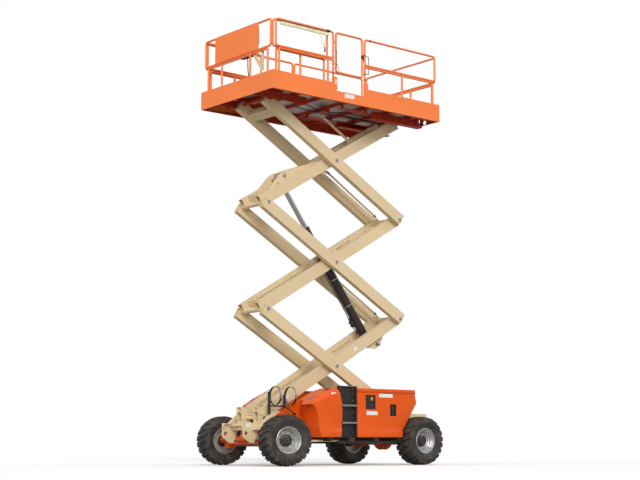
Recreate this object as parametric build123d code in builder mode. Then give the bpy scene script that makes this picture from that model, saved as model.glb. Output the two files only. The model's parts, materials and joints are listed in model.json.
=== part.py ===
"""Rough-terrain scissor lift: a wheeled chassis, three stacked pairs of crossed arms
and a guarded work platform with a sliding deck extension.

Millimetres.  +X forward, +Y to the left side, +Z up, ground at Z = 0.
"""
from build123d import *
from math import cos, radians, sin, tan
import os

os.makedirs("parts", exist_ok=True)

# ---------------------------------------------------------------- driving dimensions
WALL = 8.0                    # plate and tube wall of welded frames
GAP = 6.0                     # clearance between bodies that move past each other
SEAT = 0.3                    # clearance of a piece that rests on another
RUN_FIT = 0.05                # radial clearance of a pin in its bore

# wheels and axles
WHEELBASE = 2950.0
REAR_AXLE_X = -1420.0
FRONT_AXLE_X = REAR_AXLE_X + WHEELBASE
TRACK = 1910.0                # tyre centre to tyre centre
TYRE_R = 419.0
TYRE_W = 400.0
BEAD_R = 220.0                # where the tyre meets its rim
RIM_WALL = 12.0
RIM_HALF_W = 150.0
DISC_T = 20.0                 # wheel disc, at the tyre's centre
HUB_R = 100.0
HUB_INNER = 60.0              # hub face toward the machine, from the tyre's centre
HUB_OUTER = 65.0              # hub face away from it
KINGPIN_Y = 690.0
KINGPIN_R = 22.0
STEER_REST = -13.0            # degrees, wheels turned right at rest
STEER_ARM = 190.0             # kingpin to tie rod pin
STEER_LUG = 110.0             # kingpin to the front of the steering lug
AXLE_Z = TYRE_R

# scissor stack
ARM_SPAN = 3530.0             # pin to pin along one arm
ARM_REST = 31.0               # degrees above level at rest
SECTIONS = 3
BASE_PIVOT_Z = 795.0
PIVOT_X = 1530.0              # fixed pins of the scissor stack
ARM_DEPTH = 200.0
ARM_W = 100.0
INNER_Y = 233.0               # centre of an inner arm
OUTER_Y = 362.5               # centre of an outer arm
ARM_OVERHANG = 55.0           # arm beyond its end pins
FRONT_OFFSET = 46.0           # arm centre from its pin line at the front pin
REAR_OFFSET = 22.0            # and at the rear pin, to the other side
END_CHAMFER = 32.0            # corners cut off beside the end pins
PIN_R = 30.0
BOSS_R = 46.0
ROLLER_R = 35.0
ROLLER_W = 60.0
ROLLER_PIN_R = 24.0

# lift cylinder, as distances from its lower eye
LOWER_EYE = (ARM_SPAN - 580, -200.0)  # along and above the pin line of the first inner arms
UPPER_EYE = (720.0, 200.0)    # along and above the pin line of the last inner arms
EYE_R = 60.0
EYE_W = 100.0
FOOT_DEPTH = 70.0
BARREL_R = 82.0
BARREL_START = 200.0
BARREL_END = 1887.0
BARREL_FLOOR = 60.0
STAGE_R = 62.0
STAGE_START = 845.0
STAGE_END = 2487.0
STAGE_FLOOR = 30.0
ROD_R = 45.0
ROD_START = 1500.0

# hose link under the platform
LINK_FOOT = (ARM_SPAN - 940, 78.0)    # along and above the pin line of the last inner arms
LINK_LENGTH = 810.0
LINK_REST = 30.4              # degrees above level at rest
LINK_R = 25.0

# platform
DECK_FLOOR_Z = 151.0          # floor above the top pins
DECK_HALF_X = 1940.0
DECK_HALF_Y = 1035.0
FLOOR_T = 6.0
SKIRT_T = 8.0
SKIRT_DROP = 182.0            # skirt below the floor
SKIRT_RISE = 136.0            # toe board above the floor
SKIRT_LIP = 45.0              # flange turned in along the skirt's foot
ENTRY_FRONT_X = 600.0         # gate posts
ENTRY_REAR_X = -130.0
ENTRY_CUT = 146.0             # toe board lowered at the entry
BEAM_H = 51.0                 # cross beams under the floor
BEAM_W = 60.0
RAIL_TOP = 1055.0             # top rail above the floor
RAIL_MID = 570.0              # mid rail above the floor
RAIL_R = 19.0
RAIL_BEND = 90.0
TRACK_Y = 500.0               # outer face of the platform's roller tracks
TRACK_FLANGE = 130.0
TRACK_END_X = -2015.0
TRACK_WEB_X = -755.0          # the tracks' webs end here and their top flanges run on
TRACK_FRONT_X = -20.0         # front end of the top flanges
FRONT_WEB_X = 775.0           # rear end of the webs over the fixed pins
HANGER_X = (-600.0, -50.0)    # plates that hold the top flanges to the cross beams
EXTENSION_LENGTH = 1290.0
EXTENSION_T = 6.0
EXTENSION_Y = 940.0           # centre of the extension's side rails

# chassis and body
REAR_END_X = -2042.0
FRONT_END_X = FRONT_AXLE_X + 170
FRAME_Y = 500.0               # outer face of the main frame rails
FRAME_RAIL_W = 70.0
FRAME_TOP = 900.0
FRAME_NOSE_TOP = 700.0        # rail top at its front end
NOSE_START_X = FRONT_END_X - 250
FRAME_BOTTOM = 400.0
FRAME_ARCH = 590.0            # rail bottom over the axles
BODY_Y = 1000.0               # outer face of hoods and covers
BODY_INNER_Y = 520.0
HOOD_TOP = 1300.0
HOOD_BOTTOM = 470.0
PANEL = 12.0                  # thickness of hood and cover skins
HOOD_FRONT_X = 35.0
COVER_REAR_X = 430.0
LADDER_STEPS = (700.0, 990.0)


# ---------------------------------------------------------------- scissor geometry
SECTION_RISE = ARM_SPAN * sin(radians(ARM_REST))
INNER_INSIDE = INNER_Y - ARM_W / 2
INNER_OUTSIDE = INNER_Y + ARM_W / 2
OUTER_INSIDE = OUTER_Y - ARM_W / 2
OUTER_OUTSIDE = OUTER_Y + ARM_W / 2


def front_pin(level):
    """Point of the front joint at a level, 0 at the chassis."""
    return Vector(PIVOT_X, 0, BASE_PIVOT_Z + level * SECTION_RISE)


def inner_plane(section, y=0.0):
    """Side plane of an inner arm: +x rearward up the arm, origin at its front pin."""
    a = radians(ARM_REST)
    start = front_pin(section)
    return Plane(origin=(start.X, y, start.Z), x_dir=(-cos(a), 0, sin(a)), z_dir=(0, 1, 0))


def outer_plane(section, y=0.0):
    """Side plane of an outer arm: +x rearward down the arm, origin at its front pin."""
    a = radians(ARM_REST)
    start = front_pin(section + 1)
    return Plane(origin=(start.X, y, start.Z), x_dir=(-cos(a), 0, -sin(a)), z_dir=(0, 1, 0))


def arm_centre(along):
    """Height of an inner arm's centre line above its pin line."""
    return FRONT_OFFSET - (FRONT_OFFSET + REAR_OFFSET) * along / ARM_SPAN


def arm_outline(flip, shrink=0.0, extra=0.0):
    """Corners of an arm's side face in its own plane, turned over for an outer arm."""
    front = -ARM_OVERHANG - extra
    rear = ARM_SPAN + ARM_OVERHANG + extra
    half = ARM_DEPTH / 2 - shrink
    cut = END_CHAMFER
    outline = [
        (front + cut, arm_centre(front) - half),
        (rear, arm_centre(rear) - half),
        (rear, arm_centre(rear) + half - cut),
        (rear - cut, arm_centre(rear) + half),
        (front, arm_centre(front) + half),
        (front, arm_centre(front) - half + cut),
    ]
    return [(x, -y) for x, y in reversed(outline)] if flip else outline


def low_y(side, near, far):
    """Lower Y of a span that is given as distances from the middle on one side."""
    return near if side > 0 else -far


def save(piece, name):
    """Label a finished piece and write it as its own file."""
    piece.part.label = name
    export_step(piece.part, f"parts/{name}.step")


def tube(points, radius, bend=RAIL_BEND):
    """A round bar along points, with rounded corners."""
    with BuildPart(mode=Mode.PRIVATE) as run:
        with BuildLine():
            path = FilletPolyline(*points, radius=bend) if len(points) > 2 else Line(*points)
        with BuildSketch(Plane(origin=path @ 0, z_dir=path % 0)):
            Circle(radius)
        sweep(path=path)
    return run.part


# ---------------------------------------------------------------- scissor arms
def make_arms(plane_at, centre_y, flip, bores, name):
    """A left and a right rectangular tube arm, open at both ends, with pin bosses."""
    with BuildPart() as arms:
        for side in (1, -1):
            inside = low_y(side, centre_y - ARM_W / 2, centre_y + ARM_W / 2)
            with BuildSketch(plane_at(inside)):
                Polygon(*arm_outline(flip), align=None)
            extrude(amount=ARM_W)
            with BuildSketch(plane_at(inside + WALL)):
                Polygon(*arm_outline(flip, shrink=WALL, extra=1), align=None)
            extrude(amount=ARM_W - 2 * WALL, mode=Mode.SUBTRACT)
            with BuildSketch(plane_at(inside)):
                with Locations((0, 0), (ARM_SPAN / 2, 0), (ARM_SPAN, 0)):
                    Circle(BOSS_R)
            extrude(amount=ARM_W)
            if bores:
                with BuildSketch(plane_at(inside)):
                    with Locations(*[(along, 0) for along in bores]):
                        Circle(PIN_R + RUN_FIT)
                extrude(amount=ARM_W, mode=Mode.SUBTRACT)
    save(arms, name)


CROSS_TUBE_R = 55.0
CROSS_TUBE_AT = ARM_SPAN - 330    # cross tube of an upper inner pair, along its arms
CROSS_TUBE_LOW = ARM_SPAN - 1380  # and of the lowest pair, below the cylinder's foot
TIE_PLATE_T = 15.0
TIE_PLATE_AT = 86.0
BRACKET_T = 20.0
SPACER_R = 46.0
BOX_AT = 260.0                # box that ties the top outer arms
BOX_SIZE = (180.0, 120.0)
FOOT_BRACKET = (300.0, 250.0)  # foot bracket's length along the arm, before and after its pin
HEAD_FRONT_S = 290.0          # head bracket's front end along the arm
HEAD_REAR_S = 1560.0          # and its rear end
BRACKET_MARGIN = 62.0         # bracket plate beyond its pin
LINK_BAR = 40.0               # square bar that carries the hose link's lugs
LINK_EYE_R = 34.0
LINK_EYE_W = 60.0
LINK_LUG_T = 12.0
LINK_PIN_R = 14.0


def make_inner_cross(section):
    """What ties a left and a right inner arm: pin tubes, a plate and a cross tube."""
    first = section == 0
    last = section == SECTIONS - 1
    tubes = ([] if first else [0]) + ([] if last else [ARM_SPAN])
    across = inner_plane(section, -INNER_INSIDE)
    with BuildPart() as cross:
        with BuildSketch(across):
            with Locations(*[(along, 0) for along in tubes]):
                Circle(BOSS_R)
                Circle(PIN_R + RUN_FIT, mode=Mode.SUBTRACT)
            if not first:
                with Locations((TIE_PLATE_AT, FRONT_OFFSET)):
                    Rectangle(TIE_PLATE_T, ARM_DEPTH - 2 * WALL)
            with Locations((CROSS_TUBE_LOW if first else CROSS_TUBE_AT, 0)):
                Circle(CROSS_TUBE_R)
                Circle(CROSS_TUBE_R - WALL, mode=Mode.SUBTRACT)
        extrude(amount=2 * INNER_INSIDE)
        if first:
            eye_s, eye_h = LOWER_EYE
            front_s = eye_s - FOOT_BRACKET[0]
            rear_s = eye_s + FOOT_BRACKET[1]
            reach = INNER_INSIDE - EYE_W / 2 - GAP
            for side in (1, -1):
                with BuildSketch(inner_plane(section, low_y(side, INNER_INSIDE, INNER_INSIDE + BRACKET_T))):
                    Polygon((front_s, arm_centre(front_s) - ARM_DEPTH / 2),
                            (rear_s, arm_centre(rear_s) - ARM_DEPTH / 2),
                            (eye_s + BRACKET_MARGIN, eye_h - BRACKET_MARGIN),
                            (eye_s - BRACKET_MARGIN, eye_h - BRACKET_MARGIN), align=None)
                extrude(amount=BRACKET_T)
                with BuildSketch(inner_plane(section, low_y(side, INNER_INSIDE - reach, INNER_INSIDE))):
                    with Locations(LOWER_EYE):
                        Circle(SPACER_R)
                extrude(amount=reach)
            with BuildSketch(inner_plane(section, -INNER_INSIDE)):
                with Locations(LOWER_EYE):
                    Circle(PIN_R)
            extrude(amount=2 * INNER_INSIDE)
        if last:
            eye_s, eye_h = UPPER_EYE
            plate_y = INNER_INSIDE - BRACKET_T
            reach = plate_y - EYE_W / 2 - GAP
            for side in (1, -1):
                with BuildSketch(inner_plane(section, low_y(side, plate_y, INNER_INSIDE))):
                    Polygon((HEAD_REAR_S, arm_centre(HEAD_REAR_S)), (HEAD_FRONT_S, arm_centre(HEAD_FRONT_S)),
                            (HEAD_FRONT_S, arm_centre(HEAD_FRONT_S) + ARM_DEPTH / 2),
                            (eye_s - BRACKET_MARGIN, eye_h + BRACKET_MARGIN),
                            (eye_s + BRACKET_MARGIN, eye_h + BRACKET_MARGIN),
                            (HEAD_REAR_S, arm_centre(HEAD_REAR_S) + ARM_DEPTH / 2), align=None)
                extrude(amount=BRACKET_T)
                with BuildSketch(inner_plane(section, low_y(side, plate_y - reach, plate_y))):
                    with Locations(UPPER_EYE):
                        Circle(SPACER_R)
                extrude(amount=reach)
            bar_h = LINK_FOOT[1] - LINK_EYE_R - GAP - LINK_BAR / 2
            lug_y = LINK_EYE_W / 2 + 1
            with BuildSketch(across):
                with Locations((LINK_FOOT[0], bar_h)):
                    Rectangle(LINK_BAR, LINK_BAR)
            extrude(amount=2 * INNER_INSIDE)
            for side in (1, -1):
                with BuildSketch(inner_plane(section, low_y(side, lug_y, lug_y + LINK_LUG_T))):
                    with Locations(LINK_FOOT):
                        Circle(LINK_EYE_R - 6)
                    with Locations((LINK_FOOT[0], (LINK_FOOT[1] + bar_h) / 2)):
                        Rectangle(LINK_BAR, LINK_FOOT[1] - bar_h)
                extrude(amount=LINK_LUG_T)
            with BuildSketch(inner_plane(section, -lug_y)):
                with Locations(LINK_FOOT):
                    Circle(LINK_PIN_R)
            extrude(amount=2 * lug_y)
            roller_reach = OUTER_OUTSIDE + ROLLER_W
            for side in (1, -1):
                with BuildSketch(inner_plane(section, low_y(side, INNER_OUTSIDE, roller_reach))):
                    with Locations((ARM_SPAN, 0)):
                        Circle(ROLLER_PIN_R)
                extrude(amount=roller_reach - INNER_OUTSIDE)
                with BuildSketch(inner_plane(section, low_y(side, OUTER_OUTSIDE, roller_reach))):
                    with Locations((ARM_SPAN, 0)):
                        Circle(ROLLER_R)
                extrude(amount=ROLLER_W)
    save(cross, f"inner_cross_{section + 1}")


def make_outer_pins(section):
    """Pins carried by an outer pair, with its rollers or tie box."""
    first = section == 0
    last = section == SECTIONS - 1
    with BuildPart() as pins:
        with BuildSketch(outer_plane(section, -OUTER_INSIDE)):
            with Locations(*[(along, 0) for along in ([ARM_SPAN] if last else [0, ARM_SPAN])]):
                Circle(PIN_R)
            if last:
                with Locations((BOX_AT, -FRONT_OFFSET)):
                    Rectangle(*BOX_SIZE)
                    Rectangle(BOX_SIZE[0] - 2 * WALL, BOX_SIZE[1] - 2 * WALL, mode=Mode.SUBTRACT)
        extrude(amount=2 * OUTER_INSIDE)
        for side in (1, -1):
            with BuildSketch(outer_plane(section, low_y(side, INNER_INSIDE, OUTER_INSIDE))):
                with Locations((ARM_SPAN / 2, 0)):
                    Circle(PIN_R)
            extrude(amount=OUTER_INSIDE - INNER_INSIDE)
            if first:
                with BuildSketch(outer_plane(section, low_y(side, OUTER_OUTSIDE, OUTER_OUTSIDE + ROLLER_W))):
                    with Locations((ARM_SPAN, 0)):
                        Circle(ROLLER_R)
                extrude(amount=ROLLER_W)
    save(pins, f"outer_pins_{section + 1}")


for number in range(SECTIONS):
    top = number == SECTIONS - 1
    inner_bores = [0, ARM_SPAN / 2] + ([] if top else [ARM_SPAN])
    make_arms(lambda y, s=number: inner_plane(s, y), INNER_Y, False, inner_bores, f"inner_arms_{number + 1}")
    make_arms(lambda y, s=number: outer_plane(s, y), OUTER_Y, True, [0] if top else [],
              f"outer_arms_{number + 1}")
    make_inner_cross(number)
    make_outer_pins(number)

# ---------------------------------------------------------------- lift cylinder and hose link
lower_eye = inner_plane(0).from_local_coords(LOWER_EYE)
upper_eye = inner_plane(SECTIONS - 1).from_local_coords(UPPER_EYE)
stroke_dir = (upper_eye - lower_eye).normalized()
CYLINDER_LENGTH = (upper_eye - lower_eye).length


def along_cylinder(distance):
    """Plane square to the lift cylinder at a distance from its lower eye."""
    return Plane(origin=lower_eye + stroke_dir * distance, x_dir=(0, 1, 0), z_dir=stroke_dir)


def eye_plane(centre, half_width):
    """Side plane of an eye, at its low Y face."""
    return Plane(origin=(centre.X, -half_width, centre.Z), x_dir=stroke_dir, z_dir=(0, 1, 0))


with BuildPart() as cylinder_barrel:
    with BuildSketch(along_cylinder(BARREL_START)):
        Circle(BARREL_R)
    extrude(amount=BARREL_END - BARREL_START)
    with BuildSketch(along_cylinder(BARREL_START + BARREL_FLOOR)):
        Circle(STAGE_R + RUN_FIT)
    extrude(amount=BARREL_END - BARREL_START, mode=Mode.SUBTRACT)
    with BuildSketch(along_cylinder(0)):
        Rectangle(EYE_W, FOOT_DEPTH)
    extrude(amount=BARREL_START + 1)
    with BuildSketch(eye_plane(lower_eye, EYE_W / 2)):
        Circle(EYE_R)
    extrude(amount=EYE_W)
    with BuildSketch(eye_plane(lower_eye, EYE_W / 2)):
        Circle(PIN_R + RUN_FIT)
    extrude(amount=EYE_W, mode=Mode.SUBTRACT)
save(cylinder_barrel, "cylinder_barrel")

with BuildPart() as cylinder_stage:
    with BuildSketch(along_cylinder(STAGE_START)):
        Circle(STAGE_R)
    extrude(amount=STAGE_END - STAGE_START)
    with BuildSketch(along_cylinder(STAGE_START + STAGE_FLOOR)):
        Circle(ROD_R + RUN_FIT)
    extrude(amount=STAGE_END - STAGE_START, mode=Mode.SUBTRACT)
save(cylinder_stage, "cylinder_stage")

with BuildPart() as cylinder_rod:
    with BuildSketch(along_cylinder(ROD_START)):
        Circle(ROD_R)
    extrude(amount=CYLINDER_LENGTH - EYE_R / 2 - ROD_START)
    with BuildSketch(eye_plane(upper_eye, EYE_W / 2)):
        Circle(EYE_R)
    extrude(amount=EYE_W)
save(cylinder_rod, "cylinder_rod")

link_foot = inner_plane(SECTIONS - 1).from_local_coords(LINK_FOOT)
link_dir = Vector(cos(radians(LINK_REST)), 0, sin(radians(LINK_REST)))

with BuildPart() as hose_link:
    with BuildSketch(Plane(origin=link_foot, x_dir=(0, 1, 0), z_dir=link_dir)):
        Circle(LINK_R)
    extrude(amount=LINK_LENGTH)
    with BuildSketch(Plane(origin=(link_foot.X, -LINK_EYE_W / 2, link_foot.Z), x_dir=link_dir, z_dir=(0, 1, 0))):
        Circle(LINK_EYE_R)
    extrude(amount=LINK_EYE_W)
    with BuildSketch(Plane(origin=(link_foot.X, -LINK_EYE_W / 2, link_foot.Z), x_dir=link_dir, z_dir=(0, 1, 0))):
        Circle(LINK_PIN_R + RUN_FIT)
    extrude(amount=LINK_EYE_W, mode=Mode.SUBTRACT)
save(hose_link, "hose_link")


# ---------------------------------------------------------------- chassis
ROLLER_GAP = 1.0              # roller to track flange
SLOT_Y = OUTER_OUTSIDE + ROLLER_W + 3
CROSS_BEAM = 100.0
SIDE_PANEL_T = 12.0
SIDE_PANEL_Y = BODY_INNER_Y - 5 - SIDE_PANEL_T
OUTRIGGER_T = 60.0
OUTRIGGER_END = BODY_Y - 4
OUTRIGGER_TOP = HOOD_BOTTOM - SEAT
SILL_Y = 930.0

PANEL_TOP = HOOD_TOP - 30
HINGE_X = (-1050.0, -150.0)   # hood hinges
HINGE_L = 60.0
HINGE_Y = BODY_INNER_Y - 8
HINGE_Z = HOOD_TOP - PANEL - 2
HINGE_R = 10.0
HINGE_PIN_R = 5.0
HINGE_LUG_R = 7.5
LUG_L = 15.0

with BuildPart() as chassis_frame:
    for side in (1, -1):
        with BuildSketch(Plane.XZ.offset(-low_y(side, FRAME_Y, FRAME_Y - FRAME_RAIL_W))):
            Polygon((REAR_END_X, FRAME_ARCH), (REAR_END_X, FRAME_TOP), (NOSE_START_X, FRAME_TOP),
                    (FRONT_END_X, FRAME_NOSE_TOP), (FRONT_END_X, FRAME_ARCH), (FRONT_AXLE_X - 180, FRAME_ARCH),
                    (FRONT_AXLE_X - 330, FRAME_BOTTOM),
                    (-1000, FRAME_BOTTOM), (-1150, FRAME_ARCH), align=None)
        extrude(amount=FRAME_RAIL_W)
        with BuildSketch(Plane.XZ.offset(-low_y(side, SLOT_Y, FRAME_Y - FRAME_RAIL_W))):
            with Locations(((REAR_END_X + WALL - 150) / 2, BASE_PIVOT_Z)):
                Rectangle(-150 - REAR_END_X - WALL, 2 * (ROLLER_R + ROLLER_GAP))
        extrude(amount=SLOT_Y - FRAME_Y + FRAME_RAIL_W, mode=Mode.SUBTRACT)
    for x, z in ((REAR_END_X + 70, FRAME_ARCH), (-700, FRAME_BOTTOM), (250, FRAME_BOTTOM), (1120, FRAME_BOTTOM)):
        with BuildSketch(Plane.XY.offset(z)):
            with Locations((x, 0)):
                Rectangle(CROSS_BEAM, 2 * (FRAME_Y - FRAME_RAIL_W))
        extrude(amount=CROSS_BEAM)
save(chassis_frame, "chassis_frame")

LUG_Y = 295.0                 # front tie-down plates
LUG_T = 16.0
LUG_HOLE_R = 35.0
LUG_HOLE = (FRONT_END_X + 185, 535.0)
LUG_TIP_X = FRONT_END_X + 250
FRONT_BEAM_Z = (590.0, 690.0)
CLEVIS_T = 19.0
CLEVIS_BASE_Z = FRAME_ARCH + 5
CLEVIS_TOP_Z = 982.0
CLEVIS_SHOULDER_Z = 780.0

with BuildPart() as front_bracket:
    with BuildSketch(Plane.XZ.offset(-(FRAME_Y - FRAME_RAIL_W))):
        with Locations((FRONT_END_X + 30, sum(FRONT_BEAM_Z) / 2)):
            Rectangle(60, FRONT_BEAM_Z[1] - FRONT_BEAM_Z[0])
    extrude(amount=2 * (FRAME_Y - FRAME_RAIL_W))
    for side in (1, -1):
        with BuildSketch(Plane.XZ.offset(-low_y(side, LUG_Y, LUG_Y - LUG_T))):
            Polygon((FRONT_END_X, 420), (FRONT_END_X - 90, 610), (FRONT_END_X - 90, 705), (LUG_TIP_X, 705),
                    (LUG_TIP_X, 475), (FRONT_END_X + 100, 376), (FRONT_END_X + 15, 376), align=None)
            with Locations(LUG_HOLE):
                Circle(LUG_HOLE_R, mode=Mode.SUBTRACT)
        extrude(amount=LUG_T)
        with BuildSketch(Plane.XZ.offset(-low_y(side, LUG_Y, LUG_Y - 90))):
            Polygon((FRONT_END_X, 693), (FRONT_END_X, 705), (LUG_TIP_X, 705), (LUG_TIP_X, 693), align=None)
        extrude(amount=50)
        with BuildSketch(Plane.XZ.offset(-low_y(side, LUG_Y, LUG_Y - 60))):
            Polygon((LUG_TIP_X - 12, 640), (LUG_TIP_X - 12, 705), (LUG_TIP_X, 705), (LUG_TIP_X, 640),
                    align=None)
        extrude(amount=50)
        for clevis_near in (INNER_OUTSIDE + GAP, INNER_INSIDE - GAP - CLEVIS_T):
            with BuildSketch(Plane.XZ.offset(-low_y(side, clevis_near + CLEVIS_T, clevis_near))):
                Polygon((PIVOT_X - 80, CLEVIS_BASE_Z), (PIVOT_X + 80, CLEVIS_BASE_Z),
                        (PIVOT_X + 110, CLEVIS_SHOULDER_Z), (PIVOT_X + 110, CLEVIS_TOP_Z),
                        (PIVOT_X + 10, CLEVIS_TOP_Z), (PIVOT_X - 70, BASE_PIVOT_Z), align=None)
            extrude(amount=CLEVIS_T)
    with BuildSketch(Plane.XZ.offset(-(INNER_OUTSIDE + GAP + CLEVIS_T))):
        with Locations((PIVOT_X, BASE_PIVOT_Z)):
            Circle(PIN_R)
    extrude(amount=2 * (INNER_OUTSIDE + GAP + CLEVIS_T))
    with BuildSketch(Plane.XY.offset(FRAME_ARCH)):
        with Locations(((PIVOT_X + FRONT_END_X) / 2 - 40, 0)):
            Rectangle(FRONT_END_X - PIVOT_X + 80, 2 * (FRAME_Y - FRAME_RAIL_W))
    extrude(amount=15)
save(front_bracket, "front_bracket")

with BuildPart() as side_panels:
    for side in (1, -1):
        with BuildSketch(Plane.XZ.offset(-low_y(side, SIDE_PANEL_Y + SIDE_PANEL_T, SIDE_PANEL_Y))):
            Polygon((-1250, FRAME_ARCH + 10), (-1250, PANEL_TOP), (HOOD_FRONT_X, PANEL_TOP),
                    (COVER_REAR_X, 1230), (1060, 1075), (1440, 830), (1440, FRAME_ARCH + 10), align=None)
        extrude(amount=SIDE_PANEL_T)
        with BuildSketch(Plane.XZ.offset(-low_y(side, SIDE_PANEL_Y, FRAME_Y))):
            with Locations((-1100, 800), (0, 800), (1300, 700)):
                Rectangle(60, 60)
        extrude(amount=SIDE_PANEL_Y - FRAME_Y)
        for x in HINGE_X:
            for lug_x in (x - HINGE_L / 2 - 1 - LUG_L, x + HINGE_L / 2 + 1):
                with BuildSketch(Plane.YZ.offset(lug_x)):
                    with Locations((side * HINGE_Y, HINGE_Z)):
                        Circle(HINGE_LUG_R)
                    with Locations((side * HINGE_Y, (HINGE_Z + PANEL_TOP) / 2)):
                        Rectangle(2 * HINGE_PIN_R, HINGE_Z - PANEL_TOP)
                extrude(amount=LUG_L)
            with BuildSketch(Plane.YZ.offset(x - HINGE_L / 2 - 2)):
                with Locations((side * HINGE_Y, HINGE_Z)):
                    Circle(HINGE_PIN_R)
            extrude(amount=HINGE_L + 4)
save(side_panels, "side_panels")

with BuildPart() as side_sills:
    for side in (1, -1):
        with BuildSketch(Plane.XY.offset(370)):
            with Locations((-265, side * SILL_Y)):
                Rectangle(1430, 60)
        extrude(amount=42)
        with BuildSketch(Plane.XY.offset(FRAME_BOTTOM + 10)):
            for x in (-900, -350, 232, 650):
                with Locations((x, side * (FRAME_Y + OUTRIGGER_END) / 2)):
                    Rectangle(OUTRIGGER_T, OUTRIGGER_END - FRAME_Y)
        extrude(amount=OUTRIGGER_TOP - FRAME_BOTTOM - 10)
save(side_sills, "side_sills")

with BuildPart() as engine_block:
    with BuildSketch(Plane.XY.offset(OUTRIGGER_TOP)):
        with Locations((-560, 715)):
            Rectangle(760, 360)
    extrude(amount=HOOD_TOP - 210 - OUTRIGGER_TOP)
save(engine_block, "engine_block")

HOOD_OUTLINE = [(HOOD_FRONT_X, HOOD_BOTTOM), (HOOD_FRONT_X, HOOD_TOP), (-1300, HOOD_TOP), (-1340, 1075),
                (-985, 575), (-985, HOOD_BOTTOM)]
LATCH_AT = (-775.0, HOOD_TOP - 360)
LATCH_SIZE = (150.0, 200.0)
LATCH_DEPTH = 30.0            # block behind a latch opening
CONTROLS_AT = (-255.0, HOOD_TOP - 230)
CONTROLS_SIZE = (230.0, 240.0)
EDGE_R = 40.0                 # rounded top edge of hoods and covers


def make_hood(side, name, cuts):
    """A hollow swing-up hood over one side of the chassis."""
    outer_y = side * BODY_Y
    with BuildPart() as hood:
        with BuildSketch(Plane.XZ.offset(-outer_y)):
            Polygon(*HOOD_OUTLINE, align=None)
        extrude(amount=side * (BODY_Y - BODY_INNER_Y))
        top_edges = hood.edges().filter_by(Axis.X).group_by(Axis.Z)[-1].sort_by(Axis.Y)
        fillet(top_edges[-1] if side > 0 else top_edges[0], EDGE_R)
        with BuildSketch(Plane.XZ.offset(-outer_y + side * PANEL)):
            Polygon(*HOOD_OUTLINE, align=None)
            offset(amount=-PANEL, kind=Kind.INTERSECTION)
            with Locations(((HOOD_FRONT_X - 985) / 2, HOOD_BOTTOM + PANEL)):
                Rectangle(HOOD_FRONT_X + 985 - 2 * PANEL, 2 * PANEL)
        extrude(amount=side * (BODY_Y - BODY_INNER_Y), mode=Mode.SUBTRACT)
        with BuildSketch(Plane.XZ.offset(-outer_y)):
            for place, size in cuts:
                with Locations(place):
                    Rectangle(*size)
        extrude(amount=side * PANEL, mode=Mode.SUBTRACT)
        with BuildSketch(Plane.XZ.offset(-outer_y + side * PANEL)):
            with Locations(LATCH_AT):
                Rectangle(LATCH_SIZE[0] + 2 * PANEL, LATCH_SIZE[1] + 2 * PANEL)
        extrude(amount=side * LATCH_DEPTH)
        for x in HINGE_X:
            with BuildSketch(Plane.YZ.offset(x - HINGE_L / 2)):
                with Locations((side * HINGE_Y, HINGE_Z)):
                    Circle(HINGE_R)
            extrude(amount=HINGE_L)
            with BuildSketch(Plane.YZ.offset(x - HINGE_L / 2)):
                with Locations((side * HINGE_Y, HINGE_Z)):
                    Circle(HINGE_PIN_R + RUN_FIT)
            extrude(amount=HINGE_L, mode=Mode.SUBTRACT)
    save(hood, name)


COVER_FOOT_X = 850.0
COVER_TOP = [(COVER_REAR_X, 1308), (520, 1290), (590, 1268), (725, 1222), (853, 1158), (967, 1095), (1060, 1045),
             (1118, 1014)]
COVER_OUTLINE = COVER_TOP + [(1106, 1000), (1050, 1014), (985, 1008), (955, 975), (932, 918), (909, 850), (890, 754),
                             (877, 631), (COVER_FOOT_X, HOOD_BOTTOM), (COVER_REAR_X, HOOD_BOTTOM)]
COVER_INNER_Y = 540.0
COVER_PLAN = [(COVER_REAR_X, BODY_Y), (800, BODY_Y), (900, 985), (990, 950), (1070, 890), (1118, 800),
              (1118, 770), (1020, 740), (940, COVER_INNER_Y), (COVER_REAR_X, COVER_INNER_Y)]
COVER_RIDGE_Y = 870.0         # the top falls from here to the outer face
COVER_FALL = 0.6              # its fall for each unit outward
COVER_OPENING_TOP = 1210.0    # top of the opening in a cover's rear face


def cover_solid(side, inset):
    """The space of a front cover, drawn in by an inset on its shaped sides."""
    rise = COVER_FALL * (COVER_RIDGE_Y - COVER_INNER_Y)
    with BuildPart(mode=Mode.PRIVATE) as space:
        with BuildSketch(Plane.XZ.offset(BODY_Y)):
            Polygon(*COVER_OUTLINE, align=None)
            if inset:
                offset(amount=-inset, kind=Kind.INTERSECTION)
        extrude(amount=-2 * BODY_Y)
        with BuildSketch(Plane.XY.offset(HOOD_BOTTOM - 1)):
            Polygon(*[(x, side * y) for x, y in COVER_PLAN], align=None)
            if inset:
                offset(amount=-inset, kind=Kind.INTERSECTION)
        extrude(amount=HOOD_TOP, mode=Mode.INTERSECT)
        with BuildSketch(Plane.XZ.offset(-side * COVER_INNER_Y)):
            Polygon(*[(x, z + rise) for x, z in COVER_TOP], (COVER_TOP[-1][0], 0), (COVER_REAR_X, 0), align=None)
            if inset:
                offset(amount=-inset, kind=Kind.INTERSECTION)
        extrude(amount=BODY_Y, dir=(0, side, -COVER_FALL), mode=Mode.INTERSECT)
    return space.part


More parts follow.
